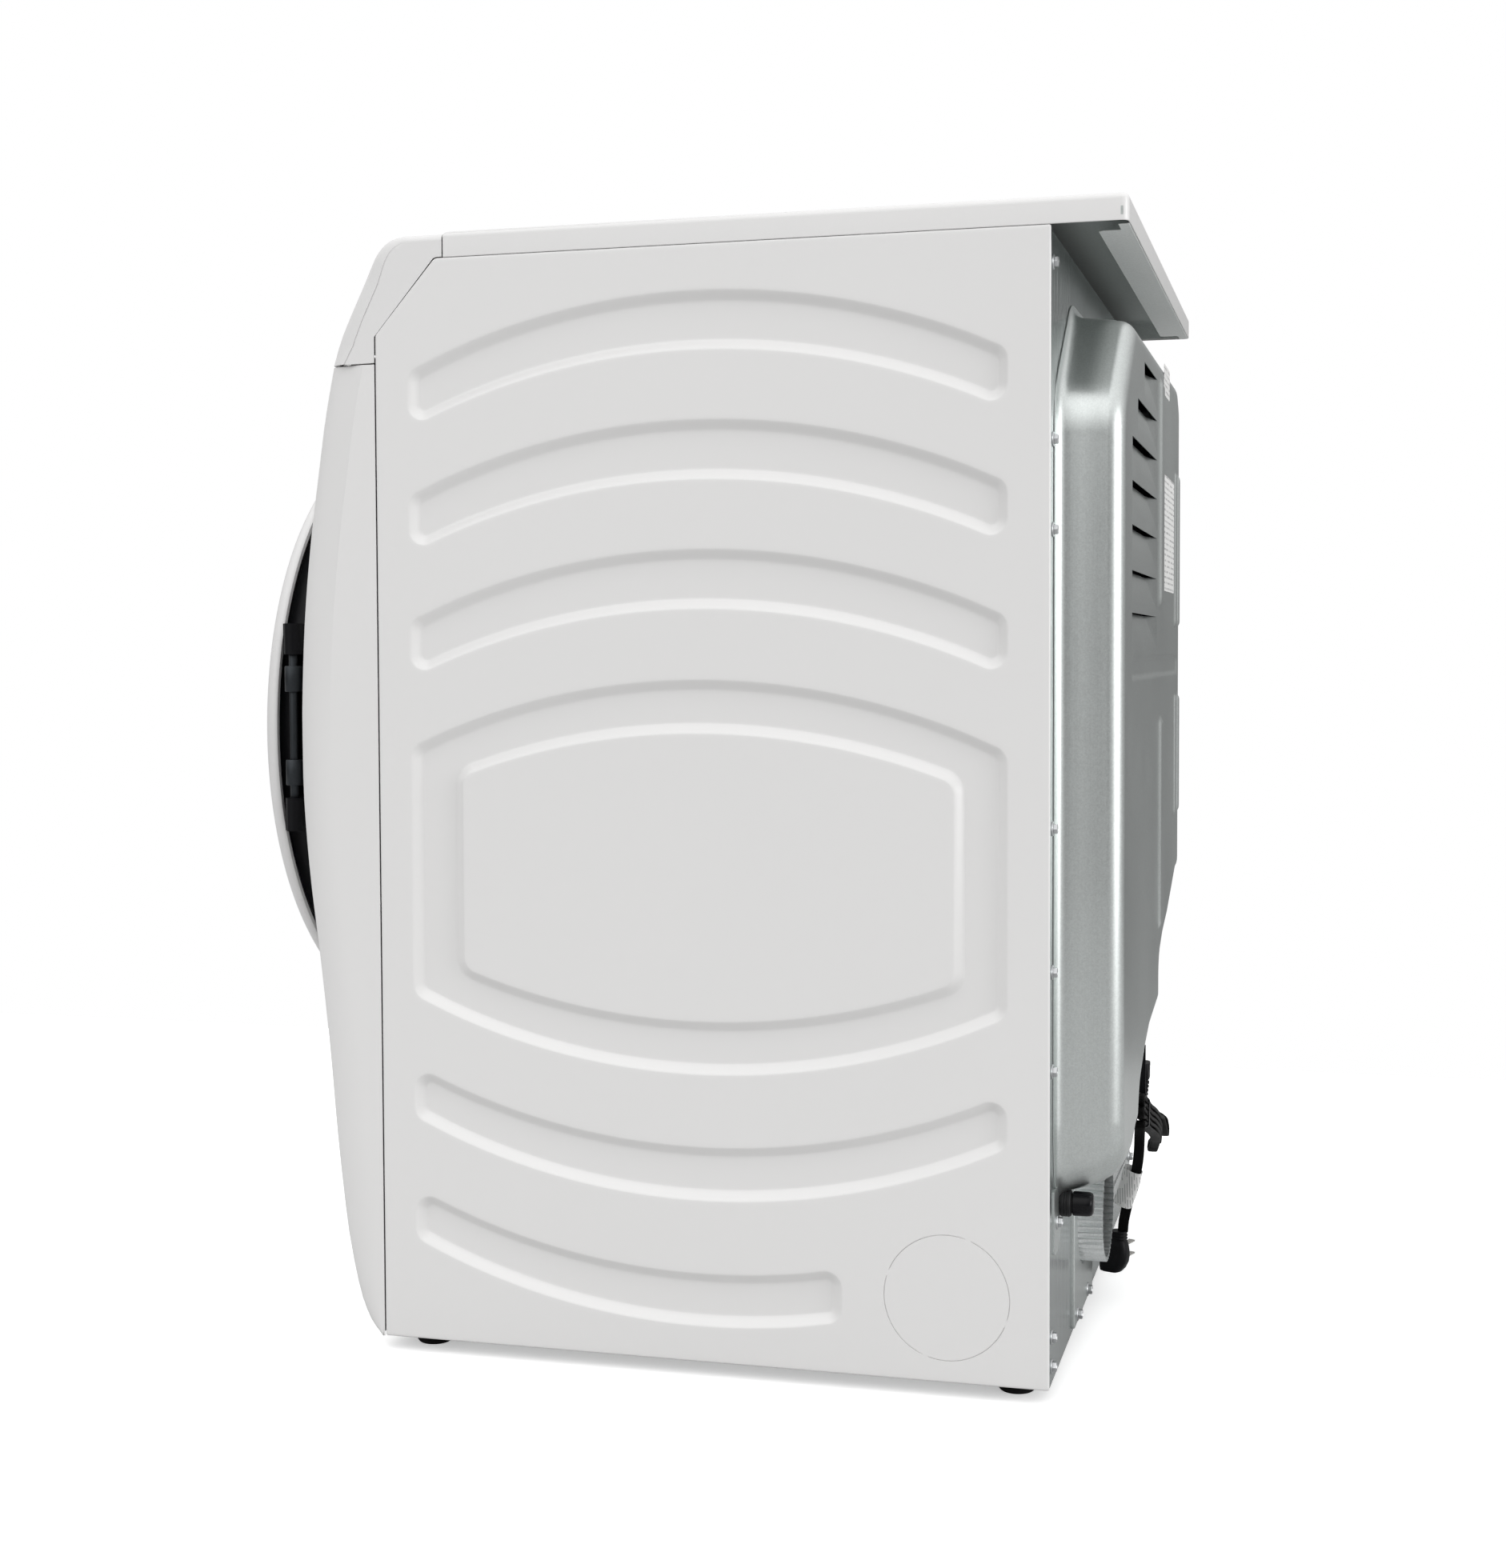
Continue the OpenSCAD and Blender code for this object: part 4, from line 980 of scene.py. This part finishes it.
def control_panel():
    """Console housing: flat cheeks that meet the side panels' chamfer, sloping face and rolled top."""
    low = box_mm("control_panel")[0].z
    profile = cad_profile("control_panel", low - 1)
    crest = profile[-1][1]
    points = [Vector((y, z, 0)) for z, y in profile if z > skirt_z or y < front_y - 10]
    face = smooth_line(points, 8)
    steps_along = np.cumsum([0] + [(b - a).length for a, b in zip(face, face[1:])])
    even = np.arange(0, steps_along[-1], 4.0)
    ys, zs = [p.x for p in face], [p.y for p in face]
    line = [Vector((np.interp(d, steps_along, ys), np.interp(d, steps_along, zs), 0)) for d in even]
    fascia_low, fascia_high = box_mm("control_fascia")
    window = (fascia_low.z - 1.2, fascia_high.z + 0.2)
    line = [p for p in line if min(abs(p.y - window[0]), abs(p.y - window[1])) > 1.5]
    for z in window:
        line.append(Vector((np.interp(z, zs, ys), z, 0)))
    line.sort(key=lambda p: (round(p.y, 2), p.x))
    line += [Vector((y, profile[-1][0], 0)) for y in np.linspace(crest + 1, seam_y - 0.3, 7)]
    shape = Shape()
    half_window = fascia_high.x + 0.4
    columns = [half_window] + list(range(300, -301, -30)) + [-half_window]
    rows, cheeks = [], []
    steps = 8
    for i, p in enumerate(line):
        ahead = (line[min(i + 2, len(line) - 1)] - line[max(i - 2, 0)]).normalized()
        lift = min(1.0, (p.y - low) / 45)
        inward = (X * (1 - lift) + Vector((ahead.y, -ahead.x, 0)) * lift).normalized()
        level = min(1.0, max(0.0, (p.x - crest + 40) / 40))
        out = (14.5 + 4.5 * min(1.0, (p.y - low) / 18) - 2.5 * lift) * (1 - level) + 6.0 * level
        within = CORNER_IN * (1 - level) + 6.0 * level
        groove = 0.8 * (1 - level)
        section = [(half_w, out + 3), (half_w, out + 1.3), (half_w - groove, out + 1.1),
                   (half_w - groove, out + 0.3)]
        start = math.radians(24) * (1 - level)
        for a in np.linspace(start, math.pi / 2, steps + 1):
            sweep = (math.cos(start) - math.cos(a)) / math.cos(start)
            section.append((half_w - within * sweep, out * (1 - math.sin(a)) / (1 - math.sin(start))))
        right = [(x, p.x + inward.x * d, p.y + inward.y * d) for x, d in section]
        left = [(-x, y, z) for x, y, z in right[::-1]]
        rows.append(right + [(x, p.x, p.y) for x in columns] + left)
        cheeks.append((right[0][1], right[0][2]))
    lead = (len(rows[0]) - len(columns)) // 2
    span = [i for i, p in enumerate(line) if window[0] - 0.1 < p.y < window[1] + 0.1 and p.x < crest - 2]
    made, rim = shape.sheet(rows, (span[0], span[-1], lead, lead + len(columns) - 1))
    sunk = shape.row([Vector(shape.points[i]) - SLOPE_OUT * 6 for i in rim])
    shape.strip(rim, sunk)
    # Flat cheeks between the rounded edge and the chamfer of the side panel
    notch = [(seam_y - 0.3, skirt_z + 0.6), (front_y + CHAMFER_Y + 2.5, skirt_z + 0.6),
             (front_y + CHAMFER_Y - 1, skirt_z - 0.4), (front_y - 0.8, skirt_z - CHAMFER_Z - 1.5),
             (front_y - 0.8, low + 0.4)]
    for side, column in ((1, 0), (-1, -1)):
        numbers = [r[column] for r in made] + shape.row([(side * half_w, y, z) for y, z in notch])
        shape.fill([(cheeks + notch, numbers)])
    shape.turn_under(rows[0], made[0], front_y - 7, 5)
    return piece(shape, "control_panel_housing", WHITE_MOULDED, "control_panel", outward=Z - Y, thick=1.2,
                 crease=30)


SLOPE = math.radians(64.3)
SLOPE_MIDDLE = Vector((0, front_y - 26.1, 944))
SLOPE_UP = Vector((0, math.cos(SLOPE), math.sin(SLOPE)))
SLOPE_OUT = Vector((0, -math.sin(SLOPE), math.cos(SLOPE)))
BUTTONS = {"power_button": -250, "start_button": 250, "option_button_1": 110, "option_button_2": 160,
           "option_button_3": 205}


def on_slope(across, up, out):
    """A point of the console's sloping face, out from the middle of the fascia."""
    return SLOPE_MIDDLE + X * across + SLOPE_UP * up + SLOPE_OUT * out


def slope_place(out):
    return lambda u, v, depth: on_slope(u, v, out - depth)


def control_fascia():
    """Gloss black fascia with button wells, and pale index marks beside the knob and the buttons."""
    shape, place = Shape(), slope_place(0.5)
    edge = [(0, 3), (0, 0.5), (0.15, 0.15), (0.5, 0)]
    well = [(-0.5, 0), (-0.15, 0.15), (0, 0.5), (0, 3)]
    loops = [shape.press(box_outline(-320, -31, 320, 31, 4), edge, place)[1]]
    for across in BUTTONS.values():
        loops.append(shape.press(circle(across, 0, 9.3), well, place)[0])
    shape.fill(loops)
    piece(shape, "control_fascia_gloss", BLACK_GLOSS, "control_fascia", outward=SLOPE_OUT)
    marks, printed = Shape(), slope_place(0.58)
    for side in (-1, 1):
        for turn in range(-45, 46, 15):
            c, k = math.cos(math.radians(turn)), math.sin(math.radians(turn))
            bar = [(36 * c + 0.5 * k, 36 * k - 0.5 * c), (40 * c + 0.5 * k, 40 * k - 0.5 * c),
                   (40 * c - 0.5 * k, 40 * k + 0.5 * c), (36 * c - 0.5 * k, 36 * k + 0.5 * c)]
            marks.pad([(side * u, v) for u, v in bar][::side], [(0, 0)], printed)
    for across in BUTTONS.values():
        marks.pad(box_outline(across - 6, 15, across + 6, 16.4, 0.6), [(0, 0)], printed)
    piece(marks, "control_fascia_marks", PALE, slot="grey_plastic", outward=SLOPE_OUT)


def cycle_knob():
    """Satin knob with a fluted grip and one dark pointer line."""
    shape = Shape()
    steps = 216
    rows = []
    for radius, out, flute in (
            (4, 0.9, 0), (27.2, 0.9, 0), (28, 1.5, 0), (27.9, 3.0, 0), (27.2, 3.8, 0), (26.6, 4.4, 0.6),
            (26.0, 12.8, 0.6), (25.6, 13.8, 0), (24.6, 15.2, 0), (23.4, 15.8, 0), (22.2, 15.8, 0),
            (21.4, 15.3, 0), (0.1, 15.2, 0)):
        ring = []
        for k in range(steps):
            a = 2 * math.pi * k / steps
            r = radius - flute * (0.5 + 0.5 * math.cos(36 * a))
            ring.append(on_slope(r * math.cos(a), r * math.sin(a), out))
        rows.append(ring)
    made = shape.loft(rows)
    shape.face(made[-1])
    piece(shape, "cycle_knob_turned", SATIN_METAL, "cycle_knob", body="cycle_knob", crease=40)
    pointer = Shape()
    pointer.pad(box_outline(-1.1, 11, 1.1, 22.5, 1), [(0, 1.3), (0, 0.3), (0.3, 0)], slope_place(16.4))
    piece(pointer, "cycle_knob_pointer", BLACK, body="cycle_knob", outward=SLOPE_OUT)


def buttons():
    for name, across in BUTTONS.items():
        shape = Shape()
        profile = [(8.9, -8), (8.9, 1.3), (8.6, 2.1), (7.9, 2.5), (7.2, 2.5), (5.5, 2.2), (0.1, 2.0)]
        shape.spin(profile, on_slope(across, 0, 0), SLOPE_OUT, 64)
        piece(shape, name + "_cap", PALE, name, body=name, slot="grey_plastic", crease=50)


# ---- Rear ----

COVER_OUTLINE = [
    (275, 185, 30), (300, 191, 20), (318, 208, 25), (325, 235, 30), (325, 848, 60), (222, 930, 45),
    (-275, 932, 30), (-312, 905, 30), (-312, 385, 24), (-273, 385, 18), (-157, 346, 40), (-98, 332, 30),
    (-62, 317, 12), (-62, 275, 20), (52, 263, 60), (99, 250, 50), (149, 229, 30), (165, 199, 14),
    (195, 195, 18), (225, 185, 30),
]
LOUVRES = [(900, 135), (860, 199), (822, 250), (784, 250), (745.6, 250), (706, 250), (669, 250)]
LOUVRE_END, LOUVRE_H, LOUVRE_D = -10, 31, 8.0
COVER_R = 17.0
DUCT_HOLE_R = 51.4
SCREW_X = 342


def cover_place(x, z, depth):
    """The cover's foot flares downwards at its lowest corner."""
    foot = min(1.0, max(0.0, (250 - z) / 60)) * min(1.0, max(0.0, (x - 130) / 40))
    flare = 1 - (1 - min(1.0, depth / 57)) ** 2
    return (x, cover_high - depth, z - 19 * foot * flare)


def raised(height, width=7):
    """(inset, depth) steps of a soft raised bead."""
    return [(-2, 0), (0, 0), (width * 0.2, -height * 0.12), (width * 0.5, -height * 0.5),
            (width * 0.8, -height * 0.88), (width, -height), (width + 1.5, -height)]


def rear_cover():
    """Deep drawn air cover with seven louvres and long stiffening beads."""
    shape = Shape()
    depth = cover_high - rear_y
    outline = rounded(COVER_OUTLINE, 9)
    wall = [(-12, depth - 0.2), (-12, depth - 1), (-9.5, depth - 1.1), (-6.5, depth - 1.7), (-4, depth - 3.2),
            (-2.1, depth - 5.6), (-0.8, depth - 9), (0, depth - 14), (0.8, depth - 22), (2.0, COVER_R + 4)]
    wall += edge_arc(COVER_R, 3.0, 10) + [(COVER_R + 5, 0)]
    holes = [shape.press(outline, wall, cover_place)[1]]
    for top, near in LOUVRES:
        hole = [(LOUVRE_END, top), (LOUVRE_END, top - LOUVRE_H), (near, top - LOUVRE_H), (near, top)]
        numbers = shape.row([cover_place(x, z, 0) for x, z in hole])
        holes.append((hole, numbers))
        far_in, near_in = LOUVRE_END + 46, near - 16
        a, b = shape.row([cover_place(far_in, top, LOUVRE_D), cover_place(near_in, top, LOUVRE_D)])
        far_top, far_low, near_low, near_top = numbers
        shape.face((far_top, far_low, a))
        shape.face((a, far_low, near_low, b))
        shape.face((b, near_low, near_top))
    beads = [
        (box_outline(-68, 677, -29, 906, 12), raised(3.0, 8)),
        (box_outline(-70, 356, -29, 571, 12), raised(3.0, 8)),
        (box_outline(-250, 457, -230, 590, 8), raised(2.0, 5)),
        (box_outline(-250, 660, -230, 829, 8), raised(2.0, 5)),
        (box_outline(-285, 457, -262, 590, 10), raised(2.5, 6)),
        (box_outline(-285, 660, -262, 829, 10), raised(2.5, 6)),
        (box_outline(-278, 609, 250, 632, 9), [(d, -h) for d, h in raised(1.6, 6)]),
    ]
    for loop, profile in beads:
        profile = [(d, max(h, -4.5)) for d, h in profile]
        holes.append(shape.pad(loop, profile, cover_place))
    shape.fill(holes)
    # Painted shade: a black block behind the louvres stands in for the dark cavity seen through them, and is not a
    # part of the dryer
    shade = Shape()
    shade.block((LOUVRE_END - 5, cover_high - 18, 630), (256, cover_high - 16, 829))
    shade.block((LOUVRE_END - 5, cover_high - 18, 829), (203, cover_high - 16, 904))
    piece(shade, "rear_cover_painted_shade", BLACK)
    piece(shape, "rear_air_cover", ZINC_SHEET, "rear_cover", outward=Y, thick=0.9, crease=24)


def rear_panel():
    """Flat galvanised back with its service holes."""
    low, high = box_mm("rear_panel")
    duct_x, _, duct_z = middle_of("exhaust_duct")
    gas_x, _, gas_z = middle_of("gas_pipe")
    place = back_place(high.y)
    shape = Shape()
    outline = rounded([(low.x, low.z, 4), (high.x, low.z, 4), (high.x, high.z, 4), (low.x, high.z, 4)])
    loops = [shape.press(outline, [(0.3, 10), (0, 9.7), (0, 1.4)] + edge_arc(1.4) + [(3, 0)], place)[1]]
    for x, z, radius in ((duct_x, duct_z, DUCT_HOLE_R), (gas_x, gas_z, 9.0)):
        loops.append(shape.press(circle(x, z, radius), [(-2, 0), (0, 0), (0, 1.2)], place)[0])
    # Shallow ribs drawn into the sheet round the cover and along its foot
    ribs = [box_outline(-296, 52, 20, 66, 6.5), box_outline(-296, 120, -215, 134, 6.5),
            box_outline(-296, 240, -215, 254, 6.5), box_outline(-330, 330, -321, 560, 4),
            box_outline(-330, 620, -321, 880, 4)]
    for loop in ribs:
        loops.append(shape.pad(loop, raised(1.6, 3.2), place))
    shape.fill(loops)
    return piece(shape, "rear_panel_sheet", ZINC_DRAWN, "rear_panel", outward=Y, thick=0.9)


def access_panel():
    low, high = box_mm("access_panel")
    duct_x, _, duct_z = middle_of("exhaust_duct")
    place = back_place(high.y)
    shape = Shape()
    outline = box_outline(low.x, low.z, high.x, high.z + 5, 4)
    loops = [shape.press(outline, [(0, high.y - low.y), (0, 1.2)] + edge_arc(1.2) + [(1.6, 0)], place)[1]]
    collar = [(-4, 0), (-3.4, 0), (-2.2, 0.3), (-1, 1.2), (0, 1.6), (0, 2.6)]
    loops.append(shape.press(circle(duct_x, duct_z, DUCT_HOLE_R), collar, place)[0])
    shape.fill(loops)
    return piece(shape, "access_panel_sheet", ZINC_SHEET, "access_panel", outward=Y, thick=0.8)


def exhaust_duct():
    """Crimped pipe end: the wall is folded into small waves that deepen towards the mouth."""
    low, high = box_mm("exhaust_duct")
    x, _, z = middle_of("exhaust_duct")
    radius = (high.x - low.x) / 2
    waves, per_wave = 50, 6
    shape = Shape()
    rows = []
    for y, depth in ((low.y, 0), (rear_y - 30, 0), (rear_y - 4, 0.2), (rear_y + 2, 2.0), (rear_y + 7, 3.2),
                     (high.y - 0.6, 3.9), (high.y, 3.9)):
        ring = []
        for k in range(waves * per_wave):
            a = 2 * math.pi * k / (waves * per_wave)
            wave = abs(math.sin(math.pi * (k % per_wave) / per_wave)) ** 0.8
            r = radius - depth * wave * (1 + 0.15 * math.sin(3 * a))
            ring.append((x + r * math.cos(a), y, z + r * math.sin(a)))
        rows.append(ring)
    shape.loft(rows)
    return piece(shape, "exhaust_crimped", ZINC_BRIGHT, "exhaust_duct", thick=0.7, crease=60)


def gas_fitting():
    low, high = box_mm("gas_cap")
    x, _, z = middle_of("gas_cap")
    radius = (high.x - low.x) / 2
    shape = Shape()
    profile = [(radius - 2, 0), (radius - 0.6, 0.1), (radius, 0.8), (radius, 12), (radius - 0.3, 14.5),
               (radius - 1.2, 16.4), (radius - 3, 17.5), (radius - 6, 18), (0, 18)]
    shape.spin(profile, (x, low.y, z), Y)
    piece(shape, "gas_cap_moulded", BLACK_GLOSS, "gas_cap", slot="black_plastic")
    collar = Shape()
    ring = [(8.6, 0), (10.8, 0.2), (11.6, 1.2), (11.6, 8.5), (10.6, 9.6), (8.7, 10)]
    collar.spin(ring, (x, rear_y + 1.6, z), Y)
    for k in range(3):
        step = 2 + 2.4 * k
        collar.spin([(11.5, step), (12.0, step + 0.5), (11.5, step + 1)], (x, rear_y + 1.6, z), Y)
    piece(collar, "gas_pipe_collar", IRON)


def hex_screw(shape, x, y, z):
    """Washer-faced hex head along +Y, standing on y."""
    shape.spin([(0.1, 0), (6.2, 0), (6.4, 0.4), (6.0, 1.0), (4.6, 1.3)], (x, y, z), Y, 32)
    rows = []
    for r, d in ((4.5, 1.2), (4.5, 4.0), (4.1, 4.6), (2.6, 4.6), (2.2, 4.2), (0, 4.2)):
        rows.append([(x + r * math.cos(math.radians(60 * k)), y + d, z + r * math.sin(math.radians(60 * k)))
                     for k in range(6)])
    shape.loft(rows)


def rear_screws():
    shape = Shape()
    for side in (-SCREW_X, SCREW_X):
        for z in (31, 56, 282, 366, 487, 737, 812, 958):
            hex_screw(shape, side, rear_y, z)
    for x in (100, 180):
        hex_screw(shape, x, rear_y + 3, 28)
    hex_screw(shape, 317, rear_y + 1.5, 148)
    piece(shape, "rear_hex_screws", ZINC, "rear_screws", crease=25)


def strain_relief():
    """Moulded block on the back, with a segmented sleeve that the cord leaves downwards."""
    low, high = box_mm("strain_relief")
    x, root = middle_of("strain_relief")[0], high.z - 18
    shape = Shape()
    outline = box_outline(low.x, rear_y + 0.1, high.x, high.y, 5)
    rim = [(1.5, 18), (0.4, 17.6), (0, 16.5), (0, 1.5), (0.4, 0.4), (1.5, 0)]
    shape.slab(outline, rim, top_place(high.z))
    sleeve = [(5.2, low.z)]
    for k in range(5):
        base, radius = low.z + 4.2 * k, 6.0 + 0.4 * k
        sleeve += [(radius, base + 0.2), (radius, base + 2.8), (radius - 0.9, base + 3.0),
                   (radius - 0.9, base + 4.0)]
    sleeve.append((8, root + 0.5))
    shape.spin(sleeve, (x, rear_y + 30, 0), Z, 40)
    return piece(shape, "strain_relief_moulded", BLACK, "strain_relief", crease=40)


def rear_labels():
    for name, x0, z0, x1, z1 in (("cover_label_small", -155, 895, -84, 926),
                                 ("cover_label_large", -222, 697, -82, 815)):
        shape = Shape()
        paper = [(0, 0.3), (0, 0.05), (0.3, 0)]
        shape.pad(box_outline(x0, z0, x1, z1, 3), paper, back_place(cover_high + 0.35))
        piece(shape, name, PAPER, slot="tag", outward=Y)


# ---- Door ----

def door():
    """White ring and dark bowed lens; the door also has a black inner frame and a pressed glass bowl, which are
    not made here.
    """
    centre = (0, 0, door_z)
    ring_low, ring_high = box_mm("door_ring")
    rim, front, back = ring_high.x, ring_low.y, ring_high.y
    shape = Shape()
    profile = [(rim - 60, front + 1.8), (rim - 58, front + 0.3), (rim - 50, front), (rim - 38, front + 0.6),
               (rim - 26, front + 2.2), (rim - 15, front + 4.8), (rim - 7, front + 8.0),
               (rim - 3, front + 11.2),
               (rim - 0.8, front + 15), (rim, front + 18.5), (rim - 0.3, back - 1), (rim - 1, back),
               (rim - 5.4, back), (rim - 6.2, back - 1), (rim - 8, back - 3), (rim - 13, back - 6),
               (rim - 30, back - 10), (rim - 60, back - 11)]
    shape.spin(profile, centre, Y, 180)
    piece(shape, "door_ring_moulded", WHITE_MOULDED, "door_ring", body="door", crease=50)
    lens = Shape()
    inner = rim - 60.5
    profile = [(inner, front + 7), (inner, front + 3), (inner - 1.2, front + 2.2)]
    profile += [(r, front + 2.2 + 4.4 * (1 - (r / inner) ** 2))
                for r in (225, 200, 170, 140, 110, 80, 50, 25, 0)]
    lens.spin(profile, centre, Y, 180)
    piece(lens, "door_lens_moulded", LENS, "door_lens", body="door", crease=50)


def hinge():
    """Fixed bracket with two knuckles, and the door's pin through them."""
    plate = Shape()

    def place(x, z, depth):
        return (x, hinge_y + 18 + depth, z)

    outline = box_outline(262, door_z - 60, 298, door_z + 71, 4)
    plate.slab(outline, [(0.7, 4), (0, 3.3), (0, 0.7), (0.7, 0)], place)
    for low in (door_z - 50, door_z + 38):
        ring = [(4.3, 0), (7.3, 0), (8, 0.7), (8, 23.3), (7.3, 24), (4.3, 24), (4.3, 0)]
        plate.spin(ring, (hinge_x, hinge_y, low), Z, 48)
        plate.block((hinge_x - 7.4, hinge_y + 5, low + 0.6), (hinge_x - 2, hinge_y + 19, low + 23.4))
    for low in (door_z - 58, door_z + 55):
        plate.block((264, hinge_y + 21, low), (294, box_mm("hinge_bracket")[1].y, low + 14))
    piece(plate, "hinge_bracket_cast", HINGE, "hinge_bracket", crease=45)
    pin = Shape()
    low, high = box_mm("hinge_pin")
    pin.spin([(0.1, low.z), (3.4, low.z), (4, low.z + 0.8), (4, high.z - 0.8), (3.4, high.z), (0.1, high.z)],
             (hinge_x, hinge_y, 0), Z, 40)
    piece(pin, "hinge_pin_turned", HINGE, "hinge_pin", body="door", crease=45)


def feet():
    for name in ("foot_front_left", "foot_front_right", "foot_rear_left", "foot_rear_right"):
        low, high = box_mm(name)
        x, y, _ = middle_of(name)
        radius = (high.x - low.x) / 2
        shape = Shape()
        profile = [(0, 0), (14.2, 0), (15, 0.6), (17.2, 4), (radius - 0.8, 9), (radius, 10), (radius, 13),
                   (radius - 0.8, 13.6), (8, 13.6), (5, 13.8), (5, 37.4), (4.4, 38), (0, 38)]
        shape.spin(profile, (x, y, 0), Z, 48)
        piece(shape, name + "_pad", RUBBER, name, body=name, crease=40)


make_camera()
plug = make_plug()
tag = make_tag()
make_cord(make_tie(), strain_relief())
make_studio()
make_floor()
paint_nodes()
side_panel(1, "side_panel_right_sheet", "side_panel_right")
side_panel(-1, "side_panel_left_sheet", "side_panel_left")
top_cover()
front_panel()
control_panel()
rear_panel()
rear_cover()
access_panel()
exhaust_duct()
gas_fitting()
rear_screws()
rear_labels()
control_fascia()
cycle_knob()
buttons()
door()
hinge()
feet()
